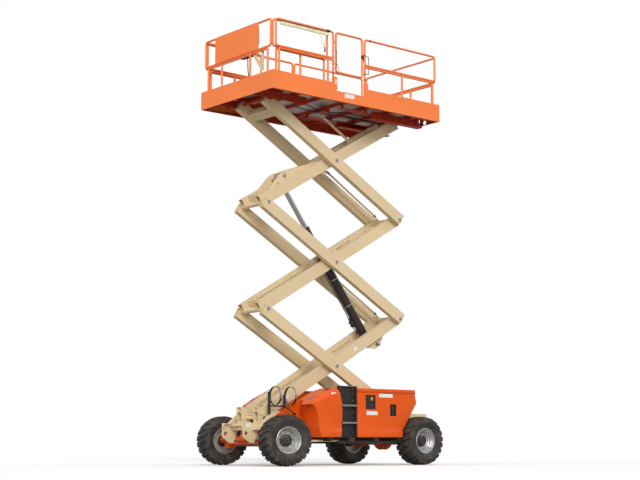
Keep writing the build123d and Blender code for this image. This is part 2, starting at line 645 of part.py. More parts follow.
def make_cover(side, name):
    """A fixed front cover, hollow and open toward the ladder bay and the ground."""
    shell = cover_solid(side, 0)
    hollow = cover_solid(side, PANEL)
    with BuildPart() as cover:
        add(shell)
        add(hollow, mode=Mode.SUBTRACT)
        with BuildSketch(Plane.YZ.offset(COVER_REAR_X)):
            with Locations((side * (BODY_Y + COVER_INNER_Y) / 2, (HOOD_BOTTOM + COVER_OPENING_TOP) / 2)):
                Rectangle(BODY_Y - COVER_INNER_Y - 2 * PANEL, COVER_OPENING_TOP - HOOD_BOTTOM - 2 * PANEL)
        extrude(amount=PANEL + 1, mode=Mode.SUBTRACT)
        with BuildSketch(Plane.XY.offset(HOOD_BOTTOM)):
            with Locations(((COVER_REAR_X + COVER_FOOT_X) / 2, side * (BODY_Y + COVER_INNER_Y) / 2)):
                Rectangle(COVER_FOOT_X - COVER_REAR_X - 4 * PANEL, BODY_Y - COVER_INNER_Y - 2 * PANEL)
        extrude(amount=PANEL + 1, mode=Mode.SUBTRACT)
    save(cover, name)


make_hood(1, "left_hood", [(LATCH_AT, LATCH_SIZE), (CONTROLS_AT, CONTROLS_SIZE)])
make_hood(-1, "right_hood", [(LATCH_AT, LATCH_SIZE)])
make_cover(1, "left_front_cover")
make_cover(-1, "right_front_cover")

CONTROLS_DEPTH = 70.0
BUTTON_R = 20.0
with BuildPart() as ground_controls:
    with BuildSketch(Plane.XZ.offset(-BODY_Y + PANEL)):
        with Locations(CONTROLS_AT):
            Rectangle(CONTROLS_SIZE[0] + 20, CONTROLS_SIZE[1] + 20)
    extrude(amount=CONTROLS_DEPTH)
    with BuildSketch(Plane.XZ.offset(-BODY_Y + 2)):
        with Locations((CONTROLS_AT[0] - 45, CONTROLS_AT[1] + 60)):
            Circle(BUTTON_R)
    extrude(amount=PANEL - 2)
save(ground_controls, "ground_controls")

LADDER_X = 232.0
LADDER_W = 360.0
LADDER_TOP = 1335.0
with BuildPart() as ladder:
    with BuildSketch(Plane.XZ.offset(-BODY_Y + 90)):
        with Locations((LADDER_X, (HOOD_BOTTOM + LADDER_TOP) / 2)):
            Rectangle(LADDER_W, LADDER_TOP - HOOD_BOTTOM)
    extrude(amount=40)
    with BuildSketch(Plane.XY.offset(HOOD_BOTTOM)):
        for edge in (-1, 1):
            with Locations((LADDER_X + edge * (LADDER_W / 2 - 6), BODY_Y - 60)):
                Rectangle(12, 60)
    extrude(amount=LADDER_TOP - HOOD_BOTTOM)
    for z in LADDER_STEPS:
        with BuildSketch(Plane.XY.offset(z)):
            with Locations((LADDER_X, BODY_Y - 55)):
                Rectangle(LADDER_W - 12, 100)
        extrude(amount=25)
save(ladder, "ladder")

HOOP_R = 155.0
HOOP_T = 5.0
HOOP_W = 40.0
HOOP_Y = 620.0
HOOP_Z = 1150.0
POST_X = (1530.0, 1210.0)     # bottle posts, the front one first
POST_TOP = (1215.0, 1100.0)
POST_W = 40.0
POST_T = 30.0
STRAP_Z = 985.0               # strap between the posts, which carries the gas hose
post_y = HOOP_Y - HOOP_R - POST_W / 2 + HOOP_T


def frame_top(x):
    """Height of the frame rails' top, which falls toward their front end."""
    return FRAME_TOP - max(0.0, x - NOSE_START_X) * (FRAME_TOP - FRAME_NOSE_TOP) / (FRONT_END_X - NOSE_START_X)


with BuildPart() as bottle_rack:
    for x, head in zip(POST_X, POST_TOP):
        foot = frame_top(x - POST_T / 2) + SEAT
        with BuildSketch(Plane.XY.offset(foot)):
            with Locations((x, post_y)):
                Rectangle(POST_T, POST_W)
        extrude(amount=max(head, HOOP_Z + 20) - foot)
        with BuildSketch(Plane.YZ.offset(x - HOOP_W / 2)):
            with Locations((HOOP_Y, HOOP_Z)):
                Circle(HOOP_R)
                Circle(HOOP_R - HOOP_T, mode=Mode.SUBTRACT)
        extrude(amount=HOOP_W)
    with BuildSketch(Plane.YZ.offset(POST_X[1])):
        with Locations((post_y, STRAP_Z)):
            Rectangle(16, 24)
    extrude(amount=POST_X[0] - POST_X[1])
save(bottle_rack, "bottle_rack")

GAS_HOSE = [(1300, 470, 981), (1300, 560, 981), (1260, 640, 930), (1160, 640, 870), (1060, 600, 850),
            (1060, SIDE_PANEL_Y + SIDE_PANEL_T + SEAT, 850)]
GAS_HOSE_R = 11.0
CORD_FILL = 0.45              # share of the shorter run that a bend may take


def cord(points, radius, name):
    """A free round cord along chosen points, bent as softly as its shortest run allows."""
    stops = [Vector(*p) for p in points]
    bends = []
    for before, here, after in zip(stops, stops[1:], stops[2:]):
        run_in = here - before
        run_out = after - here
        half_turn = radians(run_in.get_angle(run_out)) / 2
        bends.append(CORD_FILL * min(run_in.length, run_out.length) / tan(half_turn))
    print(name, "bend radii", [round(b) for b in bends])
    piece = tube(points, radius, min(bends))
    piece.label = name
    export_step(piece, f"parts/{name}.step")


cord(GAS_HOSE, GAS_HOSE_R, "gas_hose")

# ---------------------------------------------------------------- axles and steering
TIE_ROD_R = 20.0
TIE_ROD_Z = AXLE_Z - 60 - TIE_ROD_R - SEAT
TIE_PIN_R = 9.0
YOKE_T = 30.0
YOKE_HALF_H = 125.0
CYL_X = FRONT_AXLE_X + STEER_LUG
CYL_Z = AXLE_Z + 20
CYL_BARREL_R = 38.0
CYL_HALF = 230.0
CYL_ROD_R = 18.0

with BuildPart() as front_axle:
    with BuildSketch(Plane.YZ.offset(FRONT_AXLE_X - 70)):
        with Locations((0, AXLE_Z + 10)):
            Rectangle(2 * (KINGPIN_Y - 95), 150)
    extrude(amount=140)
    with BuildSketch(Plane.XY.offset(AXLE_Z + 85)):
        with Locations((FRONT_AXLE_X, 0)):
            Rectangle(200, 420)
    extrude(amount=FRAME_ARCH - AXLE_Z - 85)
    for side in (1, -1):
        with BuildSketch(Plane.XY.offset(AXLE_Z - YOKE_HALF_H)):
            with Locations((FRONT_AXLE_X, side * (KINGPIN_Y - 105))):
                Rectangle(120, 30)
        extrude(amount=2 * YOKE_HALF_H)
        for z in (AXLE_Z + YOKE_HALF_H - YOKE_T, AXLE_Z - YOKE_HALF_H):
            with BuildSketch(Plane.XY.offset(z)):
                with Locations((FRONT_AXLE_X, side * KINGPIN_Y)):
                    Circle(60)
                with Locations((FRONT_AXLE_X, side * (KINGPIN_Y - 60))):
                    Rectangle(120, 120)
            extrude(amount=YOKE_T)
        with BuildSketch(Plane.XY.offset(AXLE_Z - YOKE_HALF_H)):
            with Locations((FRONT_AXLE_X, side * KINGPIN_Y)):
                Circle(KINGPIN_R)
        extrude(amount=2 * YOKE_HALF_H)
    with BuildSketch(Plane.XZ.offset(-CYL_HALF)):
        with Locations((CYL_X, CYL_Z)):
            Circle(CYL_BARREL_R)
            Circle(CYL_ROD_R + RUN_FIT, mode=Mode.SUBTRACT)
    extrude(amount=2 * CYL_HALF)
    for y in (-CYL_HALF + 60, CYL_HALF - 30):
        with BuildSketch(Plane.XZ.offset(-y)):
            with Locations(((CYL_X - CYL_BARREL_R + FRONT_AXLE_X + 70) / 2 + 4, CYL_Z)):
                Rectangle(CYL_X - CYL_BARREL_R - FRONT_AXLE_X - 70 + 8, 50)
        extrude(amount=30)
save(front_axle, "front_axle")

LUG_HALF = 30.0
ROD_END_R = 28.0
with BuildPart() as steering_rod:
    for side in (1, -1):
        reach = side * (KINGPIN_Y - LUG_HALF - GAP - 100) + 60 * sin(radians(STEER_REST))
        with BuildSketch(Plane.XZ.offset(-reach - side * 14)):
            with Locations((CYL_X, CYL_Z)):
                Circle(ROD_END_R)
        extrude(amount=side * 28)
    far = KINGPIN_Y - LUG_HALF - GAP - 100
    with BuildSketch(Plane.XZ.offset(-far - 60 * sin(radians(STEER_REST)))):
        with Locations((CYL_X, CYL_Z)):
            Circle(CYL_ROD_R)
    extrude(amount=2 * far)
save(steering_rod, "steering_rod")

AXLE_TUBE_R = 70.0
DRIVE_R = 150.0
with BuildPart() as rear_axle:
    with BuildSketch(Plane(origin=(REAR_AXLE_X, -TRACK / 2 + HUB_INNER, AXLE_Z), x_dir=(1, 0, 0), z_dir=(0, 1, 0))):
        Circle(AXLE_TUBE_R)
    extrude(amount=TRACK - 2 * HUB_INNER)
    with BuildSketch(Plane(origin=(REAR_AXLE_X, -90, AXLE_Z), x_dir=(1, 0, 0), z_dir=(0, 1, 0))):
        Circle(DRIVE_R)
    extrude(amount=180)
    for side in (1, -1):
        with BuildSketch(Plane.XY.offset(AXLE_Z)):
            with Locations((REAR_AXLE_X, side * (FRAME_Y - FRAME_RAIL_W / 2))):
                Rectangle(180, FRAME_RAIL_W)
        extrude(amount=FRAME_ARCH - AXLE_Z)
save(rear_axle, "rear_axle")


# ---------------------------------------------------------------- wheels
def wheel_axis(side, front):
    """Plane whose +z is a wheel's outward axis, at the tyre's centre."""
    if not front:
        return Plane(origin=(REAR_AXLE_X, side * TRACK / 2, TYRE_R), x_dir=(1, 0, 0), z_dir=(0, side, 0))
    a = radians(STEER_REST)
    out = Vector(-sin(a), cos(a), 0) * side
    centre = Vector(FRONT_AXLE_X, side * KINGPIN_Y, TYRE_R) + out * (TRACK / 2 - KINGPIN_Y)
    return Plane(origin=centre, x_dir=(cos(a), sin(a), 0), z_dir=out)


def make_knuckle(side, name):
    """Steering knuckle: kingpin sleeve, wheel spindle, tie rod arm and steering lug."""
    axis = wheel_axis(side, True)
    with BuildPart() as knuckle:
        with BuildSketch(Plane.XY.offset(AXLE_Z - YOKE_HALF_H + YOKE_T + 1)):
            with Locations((FRONT_AXLE_X, side * KINGPIN_Y)):
                Circle(55)
        extrude(amount=2 * (YOKE_HALF_H - YOKE_T - 1))
        with BuildSketch(axis.offset(KINGPIN_Y - TRACK / 2)):
            Circle(50)
        extrude(amount=TRACK / 2 - KINGPIN_Y - HUB_INNER)
        with BuildSketch(Plane(origin=(FRONT_AXLE_X, side * KINGPIN_Y, AXLE_Z - 60), z_dir=(0, 0, 1),
                               x_dir=axis.x_dir)):
            with Locations((-STEER_ARM / 2 - 15, 0)):
                Rectangle(STEER_ARM + 30, 2 * LUG_HALF)
        extrude(amount=24)
        with BuildSketch(Plane(origin=(FRONT_AXLE_X, side * KINGPIN_Y, TIE_ROD_Z - TIE_ROD_R), z_dir=(0, 0, 1),
                               x_dir=axis.x_dir)):
            with Locations((-STEER_ARM, 0)):
                Circle(TIE_PIN_R)
        extrude(amount=AXLE_Z - 59 - TIE_ROD_Z + TIE_ROD_R)
        with BuildSketch(Plane(origin=(FRONT_AXLE_X, side * KINGPIN_Y, AXLE_Z), z_dir=(0, 0, 1),
                               x_dir=axis.x_dir)):
            with Locations((STEER_LUG / 2 + 15, 0)):
                Rectangle(STEER_LUG + 30, 2 * LUG_HALF)
        extrude(amount=40)
        with BuildSketch(Plane.XY.offset(AXLE_Z - YOKE_HALF_H)):
            with Locations((FRONT_AXLE_X, side * KINGPIN_Y)):
                Circle(KINGPIN_R + RUN_FIT)
        extrude(amount=2 * YOKE_HALF_H, mode=Mode.SUBTRACT)
    save(knuckle, name)


def make_wheel(side, front, word):
    """One tyre and its stepped rim with a hub."""
    axis = wheel_axis(side, front)
    section = Plane(origin=axis.origin, x_dir=(0, 0, 1), z_dir=Vector(0, 0, 1).cross(axis.z_dir))
    half = TYRE_W / 2
    with BuildPart() as tyre:
        with BuildSketch(section):
            with BuildLine():
                Polyline((BEAD_R, 60 - half), (BEAD_R + 60, -half), (TYRE_R - 60, -half), (TYRE_R - 8, 40 - half),
                         (TYRE_R, 80 - half), (TYRE_R, half - 80), (TYRE_R - 8, half - 40), (TYRE_R - 60, half),
                         (BEAD_R + 60, half), (BEAD_R, half - 60), close=True)
            make_face()
        revolve(axis=Axis(axis.origin, axis.z_dir))
    save(tyre, f"tyre_{word}")
    with BuildPart() as rim:
        with BuildSketch(section):
            with Locations((BEAD_R - RIM_WALL / 2, 0)):
                Rectangle(RIM_WALL, 2 * RIM_HALF_W)
            with Locations((BEAD_R / 2 - RIM_WALL / 2, 0)):
                Rectangle(BEAD_R - RIM_WALL, DISC_T)
            with Locations((HUB_R / 2, (HUB_OUTER - HUB_INNER) / 2 + SEAT / 2)):
                Rectangle(HUB_R, HUB_OUTER + HUB_INNER - SEAT)
        revolve(axis=Axis(axis.origin, axis.z_dir))
    save(rim, f"rim_{word}")


for side, word in ((1, "left"), (-1, "right")):
    make_knuckle(side, f"knuckle_{word}")
    make_wheel(side, True, f"front_{word}")
    make_wheel(side, False, f"rear_{word}")

with BuildPart() as tie_rod:
    back_x = FRONT_AXLE_X - STEER_ARM * cos(radians(STEER_REST))
    back_y = -STEER_ARM * sin(radians(STEER_REST))
    with BuildSketch(Plane(origin=(back_x, back_y - KINGPIN_Y - TIE_ROD_R, TIE_ROD_Z), x_dir=(1, 0, 0),
                           z_dir=(0, 1, 0))):
        Circle(TIE_ROD_R)
    extrude(amount=2 * (KINGPIN_Y + TIE_ROD_R))
    with BuildSketch(Plane.XY.offset(TIE_ROD_Z - TIE_ROD_R)):
        with Locations((back_x, back_y + KINGPIN_Y)):
            Circle(TIE_PIN_R + RUN_FIT)
        with Locations((back_x, back_y - KINGPIN_Y)):
            Circle(TIE_PIN_R + 1)
    extrude(amount=2 * TIE_ROD_R, mode=Mode.SUBTRACT)
save(tie_rod, "tie_rod")

# ---------------------------------------------------------------- platform
TOP_PIN_Z = front_pin(SECTIONS).Z
FLOOR = TOP_PIN_Z + DECK_FLOOR_Z
SKIRT_LOW = FLOOR - SKIRT_DROP
SKIRT_HIGH = FLOOR + SKIRT_RISE
INSIDE_X = DECK_HALF_X - SKIRT_T
INSIDE_Y = DECK_HALF_Y - SKIRT_T
TRACK_HALF = ROLLER_R + ROLLER_GAP + WALL
BEAM_TOP = FLOOR - FLOOR_T
BEAM_X = (-1700.0, -1150.0, -600.0, -50.0, 500.0, 1000.0, 1350.0, 1780.0)

with BuildPart() as platform_frame:
    for side in (1, -1):
        with BuildSketch(Plane.YZ.offset(TRACK_END_X)):
            with Locations((side * (TRACK_Y - TRACK_FLANGE / 2), TOP_PIN_Z)):
                Rectangle(TRACK_FLANGE, 2 * TRACK_HALF)
            with Locations((side * (TRACK_Y - TRACK_FLANGE / 2 - WALL), TOP_PIN_Z)):
                Rectangle(TRACK_FLANGE, 2 * (TRACK_HALF - WALL), mode=Mode.SUBTRACT)
        extrude(amount=TRACK_WEB_X - TRACK_END_X)
        with BuildSketch(Plane.YZ.offset(TRACK_WEB_X)):
            with Locations((side * (TRACK_Y - TRACK_FLANGE / 2), TOP_PIN_Z + TRACK_HALF - WALL / 2)):
                Rectangle(TRACK_FLANGE, WALL)
        extrude(amount=TRACK_FRONT_X - TRACK_WEB_X)
        for start, end in ((-INSIDE_X, TRACK_WEB_X), (FRONT_WEB_X, INSIDE_X)):
            with BuildSketch(Plane.YZ.offset(start)):
                with Locations((side * (TRACK_Y - WALL / 2), (TOP_PIN_Z - TRACK_HALF + BEAM_TOP - BEAM_H) / 2)):
                    Rectangle(WALL, BEAM_TOP - BEAM_H - TOP_PIN_Z + TRACK_HALF)
            extrude(amount=end - start)
        with BuildSketch(Plane.XZ.offset(-low_y(side, TRACK_Y, TRACK_Y - WALL))):
            for x in HANGER_X:
                with Locations((x, (TOP_PIN_Z + TRACK_HALF - WALL + BEAM_TOP - BEAM_H) / 2)):
                    Rectangle(BEAM_W, BEAM_TOP - BEAM_H - TOP_PIN_Z - TRACK_HALF + WALL)
        extrude(amount=WALL)
        hanger_near = OUTER_OUTSIDE + GAP
        with BuildSketch(Plane.XZ.offset(-low_y(side, hanger_near + BRACKET_T, hanger_near))):
            with Locations((PIVOT_X, TOP_PIN_Z)):
                Circle(50)
            Polygon((PIVOT_X - 50, TOP_PIN_Z), (PIVOT_X + 50, TOP_PIN_Z), (PIVOT_X + 50, BEAM_TOP - BEAM_H),
                    (PIVOT_X - 50, BEAM_TOP - BEAM_H), align=None)
        extrude(amount=BRACKET_T)
        with BuildSketch(Plane.XY.offset(BEAM_TOP - BEAM_H)):
            with Locations(((BEAM_X[-1] + BEAM_X[-2]) / 2, side * (hanger_near + BRACKET_T / 2))):
                Rectangle(BEAM_X[-1] - BEAM_X[-2], 40)
        extrude(amount=BEAM_H)
    with BuildSketch(Plane.XZ.offset(-(OUTER_OUTSIDE + GAP + BRACKET_T))):
        with Locations((PIVOT_X, TOP_PIN_Z)):
            Circle(PIN_R)
    extrude(amount=2 * (OUTER_OUTSIDE + GAP + BRACKET_T))
    with BuildSketch(Plane.XY.offset(BEAM_TOP - BEAM_H)):
        for x in BEAM_X:
            with Locations((x, 0)):
                Rectangle(BEAM_W, 2 * INSIDE_Y)
    extrude(amount=BEAM_H)
save(platform_frame, "platform_frame")

with BuildPart() as platform_floor:
    with BuildSketch(Plane.XY.offset(FLOOR - FLOOR_T)):
        Rectangle(2 * INSIDE_X, 2 * INSIDE_Y)
    extrude(amount=FLOOR_T)
save(platform_floor, "platform_floor")

NOTCH_Y = TRACK_Y + 20        # rear skirt open for the arms and rollers when stowed
NOTCH_TOP = BEAM_TOP - BEAM_H
VENT_AT = (650.0, TOP_PIN_Z + 20)
VENT_R = 40.0
with BuildPart() as platform_skirts:
    for side in (1, -1):
        with BuildSketch(Plane.XZ.offset(-low_y(side, DECK_HALF_Y, INSIDE_Y))):
            with Locations((0, (SKIRT_LOW + SKIRT_HIGH) / 2)):
                Rectangle(2 * DECK_HALF_X, SKIRT_HIGH - SKIRT_LOW)
            if side > 0:
                with Locations(((ENTRY_FRONT_X + ENTRY_REAR_X) / 2, SKIRT_HIGH - ENTRY_CUT / 2)):
                    Rectangle(ENTRY_FRONT_X - ENTRY_REAR_X - 40, ENTRY_CUT, mode=Mode.SUBTRACT)
        extrude(amount=SKIRT_T)
        with BuildSketch(Plane.XY.offset(SKIRT_LOW)):
            with Locations((0, side * (INSIDE_Y - SKIRT_LIP / 2))):
                Rectangle(2 * INSIDE_X, SKIRT_LIP)
        extrude(amount=FLOOR_T)
    with BuildSketch(Plane.YZ.offset(-DECK_HALF_X)):
        with Locations((0, (SKIRT_LOW + SKIRT_HIGH) / 2)):
            Rectangle(2 * INSIDE_Y, SKIRT_HIGH - SKIRT_LOW)
        with Locations((0, (SKIRT_LOW + NOTCH_TOP) / 2)):
            Rectangle(2 * NOTCH_Y, NOTCH_TOP - SKIRT_LOW, mode=Mode.SUBTRACT)
        with Locations(VENT_AT, (-VENT_AT[0], VENT_AT[1])):
            Circle(VENT_R, mode=Mode.SUBTRACT)
    extrude(amount=SKIRT_T)
save(platform_skirts, "platform_skirts")


def rail_panel(name, start, end, shares, foot, mid=RAIL_MID, loop=None):
    """A guard rail between two plan points: top rail bent down at both ends, mid rail, posts."""
    a = Vector(*start)
    b = Vector(*end)
    high = FLOOR + RAIL_TOP - RAIL_R
    runs = [tube([(a.X, a.Y, foot), (a.X, a.Y, high), (b.X, b.Y, high), (b.X, b.Y, foot)], RAIL_R)]
    if mid:
        runs.append(tube([(a.X, a.Y, FLOOR + mid), (b.X, b.Y, FLOOR + mid)], RAIL_R - 2))
    for share in shares:
        post = a + (b - a) * share
        runs.append(tube([(post.X, post.Y, foot), (post.X, post.Y, FLOOR + mid)], RAIL_R - 4))
    if loop:
        low = FLOOR + loop
        runs.append(tube([(a.X, a.Y, low), (b.X, b.Y, low)], RAIL_R - 2))
    with BuildPart() as panel:
        for run in runs:
            add(run)
    return panel


RAIL_Y = INSIDE_Y - RAIL_R - SEAT
RAIL_X = INSIDE_X - RAIL_R - SEAT
RAIL_FOOT = FLOOR + SEAT
save(rail_panel("left_front_rail", (1860, RAIL_Y), (ENTRY_FRONT_X, RAIL_Y), (0.05, 0.907), RAIL_FOOT),
     "left_front_rail")
save(rail_panel("left_rear_rail", (ENTRY_REAR_X, RAIL_Y), (-RAIL_X + 60, RAIL_Y), (0.5,), RAIL_FOOT),
     "left_rear_rail")
save(rail_panel("right_rail", (1860, -RAIL_Y), (-RAIL_X + 60, -RAIL_Y), (0.25, 0.5, 0.75), RAIL_FOOT),
     "right_rail")
save(rail_panel("rear_rail", (-RAIL_X, RAIL_Y - 60), (-RAIL_X, -RAIL_Y + 60), (0.27, 0.73), RAIL_FOOT),
     "rear_rail")

GATE_FOOT = 330.0             # lowest bar of the entry gate above the floor
GATE_CLEAR = 62.0
gate = rail_panel("entry_gate", (ENTRY_FRONT_X - GATE_CLEAR, RAIL_Y), (ENTRY_REAR_X + GATE_CLEAR, RAIL_Y), (),
                  FLOOR + GATE_FOOT - RAIL_R, mid=None, loop=GATE_FOOT)
with BuildPart() as entry_gate:
    add(gate.part)
    for z in (480, 860):
        with BuildSketch(Plane.YZ.offset(ENTRY_FRONT_X - GATE_CLEAR)):
            with Locations((RAIL_Y, FLOOR + z)):
                Rectangle(14, 40)
        extrude(amount=GATE_CLEAR - RAIL_R - SEAT)
save(entry_gate, "entry_gate")

DECK_EDGE_Y = RAIL_Y - RAIL_R - GAP
RUNNER_H = 8.0
PLATE_Z = FLOOR + SEAT + RUNNER_H
with BuildPart() as extension_deck:
    with BuildSketch(Plane.XY.offset(PLATE_Z)):
        with Locations((INSIDE_X - EXTENSION_LENGTH / 2, 0)):
            Rectangle(EXTENSION_LENGTH, 2 * DECK_EDGE_Y)
    extrude(amount=EXTENSION_T)
    with BuildSketch(Plane.XY.offset(FLOOR + SEAT)):
        with Locations((INSIDE_X - EXTENSION_LENGTH + 60, -600), (INSIDE_X - EXTENSION_LENGTH + 60, 600),
                       (INSIDE_X - 100, -600), (INSIDE_X - 100, 600)):
            Rectangle(80, 200)
    extrude(amount=RUNNER_H)
    with BuildSketch(Plane.YZ.offset(INSIDE_X)):
        with Locations((0, (SKIRT_LOW + SKIRT_HIGH) / 2)):
            Rectangle(2 * (INSIDE_Y - 2), SKIRT_HIGH - SKIRT_LOW)
    extrude(amount=SKIRT_T)
    with BuildSketch(Plane.XY.offset(PLATE_Z)):
        with Locations((INSIDE_X + SKIRT_T / 2, 0)):
            Rectangle(SKIRT_T, 2 * DECK_EDGE_Y)
    extrude(amount=EXTENSION_T)
save(extension_deck, "extension_deck")

EXT_FOOT = PLATE_Z + EXTENSION_T
EXT_RAIL_X = INSIDE_X - RAIL_R - 1
save(rail_panel("extension_front_rail", (EXT_RAIL_X, EXTENSION_Y), (EXT_RAIL_X, -EXTENSION_Y), (0.305, 0.741),
                EXT_FOOT), "extension_front_rail")
EXT_SIDE_X = EXT_RAIL_X - 2 * RAIL_R - 2
sides = [rail_panel("side", (EXT_SIDE_X, side * EXTENSION_Y), (INSIDE_X - EXTENSION_LENGTH + 40, side * EXTENSION_Y),
                    (0.5,), EXT_FOOT) for side in (1, -1)]
with BuildPart() as extension_side_rails:
    for one in sides:
        add(one.part)
    for side in (1, -1):
        for z in (FLOOR + RAIL_MID, FLOOR + RAIL_MID - 200):
            with BuildSketch(Plane.YZ.offset(EXT_SIDE_X)):
                with Locations((side * EXTENSION_Y, z)):
                    Rectangle(10, 30)
            extrude(amount=EXT_RAIL_X - RAIL_R - SEAT - EXT_SIDE_X)
save(extension_side_rails, "extension_side_rails")

BOARD_T = 4.0
BOARD_Z = (FLOOR + 575, FLOOR + 1050)
with BuildPart() as front_board:
    with BuildSketch(Plane.YZ.offset(EXT_RAIL_X + RAIL_R + SEAT)):
        with Locations((0, sum(BOARD_Z) / 2)):
            Rectangle(1260, BOARD_Z[1] - BOARD_Z[0])
    extrude(amount=BOARD_T)
save(front_board, "front_board")

BOX_BACK_X = EXT_RAIL_X - RAIL_R - SEAT
BOX_DEEP = 190.0
BRACKET_Y = (400.0, 690.0)    # open bracket beside the control box
with BuildPart() as control_box:
    with BuildSketch(Plane.YZ.offset(BOX_BACK_X)):
        with Locations((60, FLOOR + 690)):
            Rectangle(320, 240)
    extrude(amount=-BOX_DEEP)
    for y in (-30, 150):
        with BuildSketch(Plane.YZ.offset(BOX_BACK_X)):
            with Locations((y, FLOOR + 920)):
                Rectangle(30, 230)
        extrude(amount=-6)
    with BuildSketch(Plane.YZ.offset(BOX_BACK_X + 2)):
        Polygon((BRACKET_Y[0], FLOOR + 585), (BRACKET_Y[1], FLOOR + 585), (BRACKET_Y[1], FLOOR + 200),
                (BRACKET_Y[1] - 40, FLOOR + 200), (BRACKET_Y[0], FLOOR + 530), align=None)
        Polygon((BRACKET_Y[0] + 90, FLOOR + 545), (BRACKET_Y[1] - 40, FLOOR + 545),
                (BRACKET_Y[1] - 40, FLOOR + 340), align=None, mode=Mode.SUBTRACT)
    extrude(amount=-8)
save(control_box, "control_box")

CONTROL_CORD = [(1800, 150, 6970 - SEAT), (1800, 150, 6830), (1825, 190, 6700), (1840, 240, 6580),
                (1840, 240, EXT_FOOT + SEAT)]
cord(CONTROL_CORD, 8.0, "control_cord")

STRIP_H = 36.0
STRIP_W = 26.0
with BuildPart() as cable_track:
    top_z = FLOOR + RAIL_TOP - 2 * RAIL_R - SEAT
    with BuildSketch(Plane.XZ.offset(-RAIL_Y - STRIP_W / 2)):
        Polygon((1760, top_z - STRIP_H), (1760, top_z), (700, top_z), (700, top_z - STRIP_H), align=None)
    extrude(amount=STRIP_W)
    with BuildSketch(Plane.XZ.offset(-RAIL_Y - 4)):
        Polygon((925, top_z - STRIP_H), (740, top_z - STRIP_H), (760, FLOOR + 645), (785, FLOOR + 645), align=None)
    extrude(amount=8)
save(cable_track, "cable_track")
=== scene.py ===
"""Looks of a rough-terrain scissor lift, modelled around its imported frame.

Metres.  +X forward, +Y to the left side, +Z up, ground at Z = 0.
"""

import json
import logging
from contextlib import contextmanager
from dataclasses import dataclass
from enum import Enum
from math import atan2, cos, pi, radians, sin, sqrt
from typing import Iterator, Sequence

import bpy
from mathutils import Matrix, Vector


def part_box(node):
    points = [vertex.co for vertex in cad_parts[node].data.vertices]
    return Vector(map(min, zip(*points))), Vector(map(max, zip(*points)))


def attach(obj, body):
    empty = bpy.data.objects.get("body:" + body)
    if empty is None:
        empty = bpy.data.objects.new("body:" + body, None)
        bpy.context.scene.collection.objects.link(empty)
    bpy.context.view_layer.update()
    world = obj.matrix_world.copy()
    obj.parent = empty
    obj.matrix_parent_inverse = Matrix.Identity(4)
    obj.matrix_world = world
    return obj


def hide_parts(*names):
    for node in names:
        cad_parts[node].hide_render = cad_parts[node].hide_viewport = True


Piece = bpy.types.Object
Socket = bpy.types.NodeSocket
Point = tuple[float, float, float]
Colour = tuple[float, float, float]
Outline = tuple[tuple[float, float], ...]

LOG = logging.getLogger("scissor_lift")

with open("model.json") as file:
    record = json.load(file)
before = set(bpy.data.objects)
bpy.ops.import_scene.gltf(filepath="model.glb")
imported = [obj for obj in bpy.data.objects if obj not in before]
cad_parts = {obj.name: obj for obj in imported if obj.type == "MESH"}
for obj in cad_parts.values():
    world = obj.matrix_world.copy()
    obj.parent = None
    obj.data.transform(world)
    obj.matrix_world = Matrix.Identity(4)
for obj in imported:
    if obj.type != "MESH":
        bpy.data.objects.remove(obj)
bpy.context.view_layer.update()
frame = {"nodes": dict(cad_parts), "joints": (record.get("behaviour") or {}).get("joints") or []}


# --- shaping tools
def clear() -> None:
    """Deselect everything."""
    bpy.ops.object.select_all(action="DESELECT")


def only(piece: Piece) -> None:
    """Select one object and make it active.

    Args:
        piece: the object.
    """
    clear()
    piece.select_set(True)
    bpy.context.view_layer.objects.active = piece


@contextmanager
def editing(piece: Piece, kind: str = "FACE") -> Iterator[None]:
    """Open an object in edit mode with all of it selected, and close it afterwards.

    Args:
        piece: the object.
        kind: what is picked, FACE or EDGE.
    """
    only(piece)
    bpy.ops.object.mode_set(mode="EDIT")
    bpy.ops.mesh.select_mode(type=kind)
    bpy.ops.mesh.select_all(action="SELECT")
    yield
    bpy.ops.object.mode_set(mode="OBJECT")


def settle(piece: Piece, where: Matrix | None = None) -> Piece:
    """Put the object's place, turn and scale into its mesh.

    Args:
        piece: the object.
        where: a further placing, done after its own.

    Returns:
        The same object, at the origin.
    """
    matrix = piece.matrix_basis.copy()
    if where is not None:
        matrix = where @ matrix
    piece.data.transform(matrix)
    if matrix.determinant() < 0:
        piece.data.flip_normals()
    piece.matrix_basis = Matrix.Identity(4)
    return piece


def aim(base: Sequence[float], tip: Sequence[float]) -> Matrix:
    """Placing that turns +Z from a base point toward a tip.

    Args:
        base: where the origin goes.
        tip: a point the +Z axis goes through.

    Returns:
        The placing.
    """
    start = Vector(base)
    along = (Vector(tip) - start).normalized()
    return Matrix.Translation(start) @ along.to_track_quat("Z", "Y").to_matrix().to_4x4()


def soften(piece: Piece, width: float, segments: int = 2, limit: float = 30.0) -> Piece:
    """Bevel the object's sharp edges with a modifier and apply it.

    Args:
        piece: the object.
        width: how far the bevel reaches on each side.
        segments: steps in the round.
        limit: least angle of an edge that is bevelled, in degrees.

    Returns:
        The same object.
    """
    only(piece)
    bevel = piece.modifiers.new("Soft edges", "BEVEL")
    bevel.width = width
    bevel.segments = segments
    bevel.limit_method = "ANGLE"
    bevel.angle_limit = radians(limit)
    bevel.harden_normals = False
    bpy.ops.object.modifier_apply(modifier=bevel.name)
    return piece


def smooth(piece: Piece, angle: float = 35.0) -> Piece:
    """Shade the object smooth except across sharp edges.

    Args:
        piece: the object.
        angle: the sharpest turn that is still smooth, in degrees.

    Returns:
        The same object.
    """
    only(piece)
    bpy.ops.object.shade_smooth_by_angle(angle=radians(angle))
    return piece


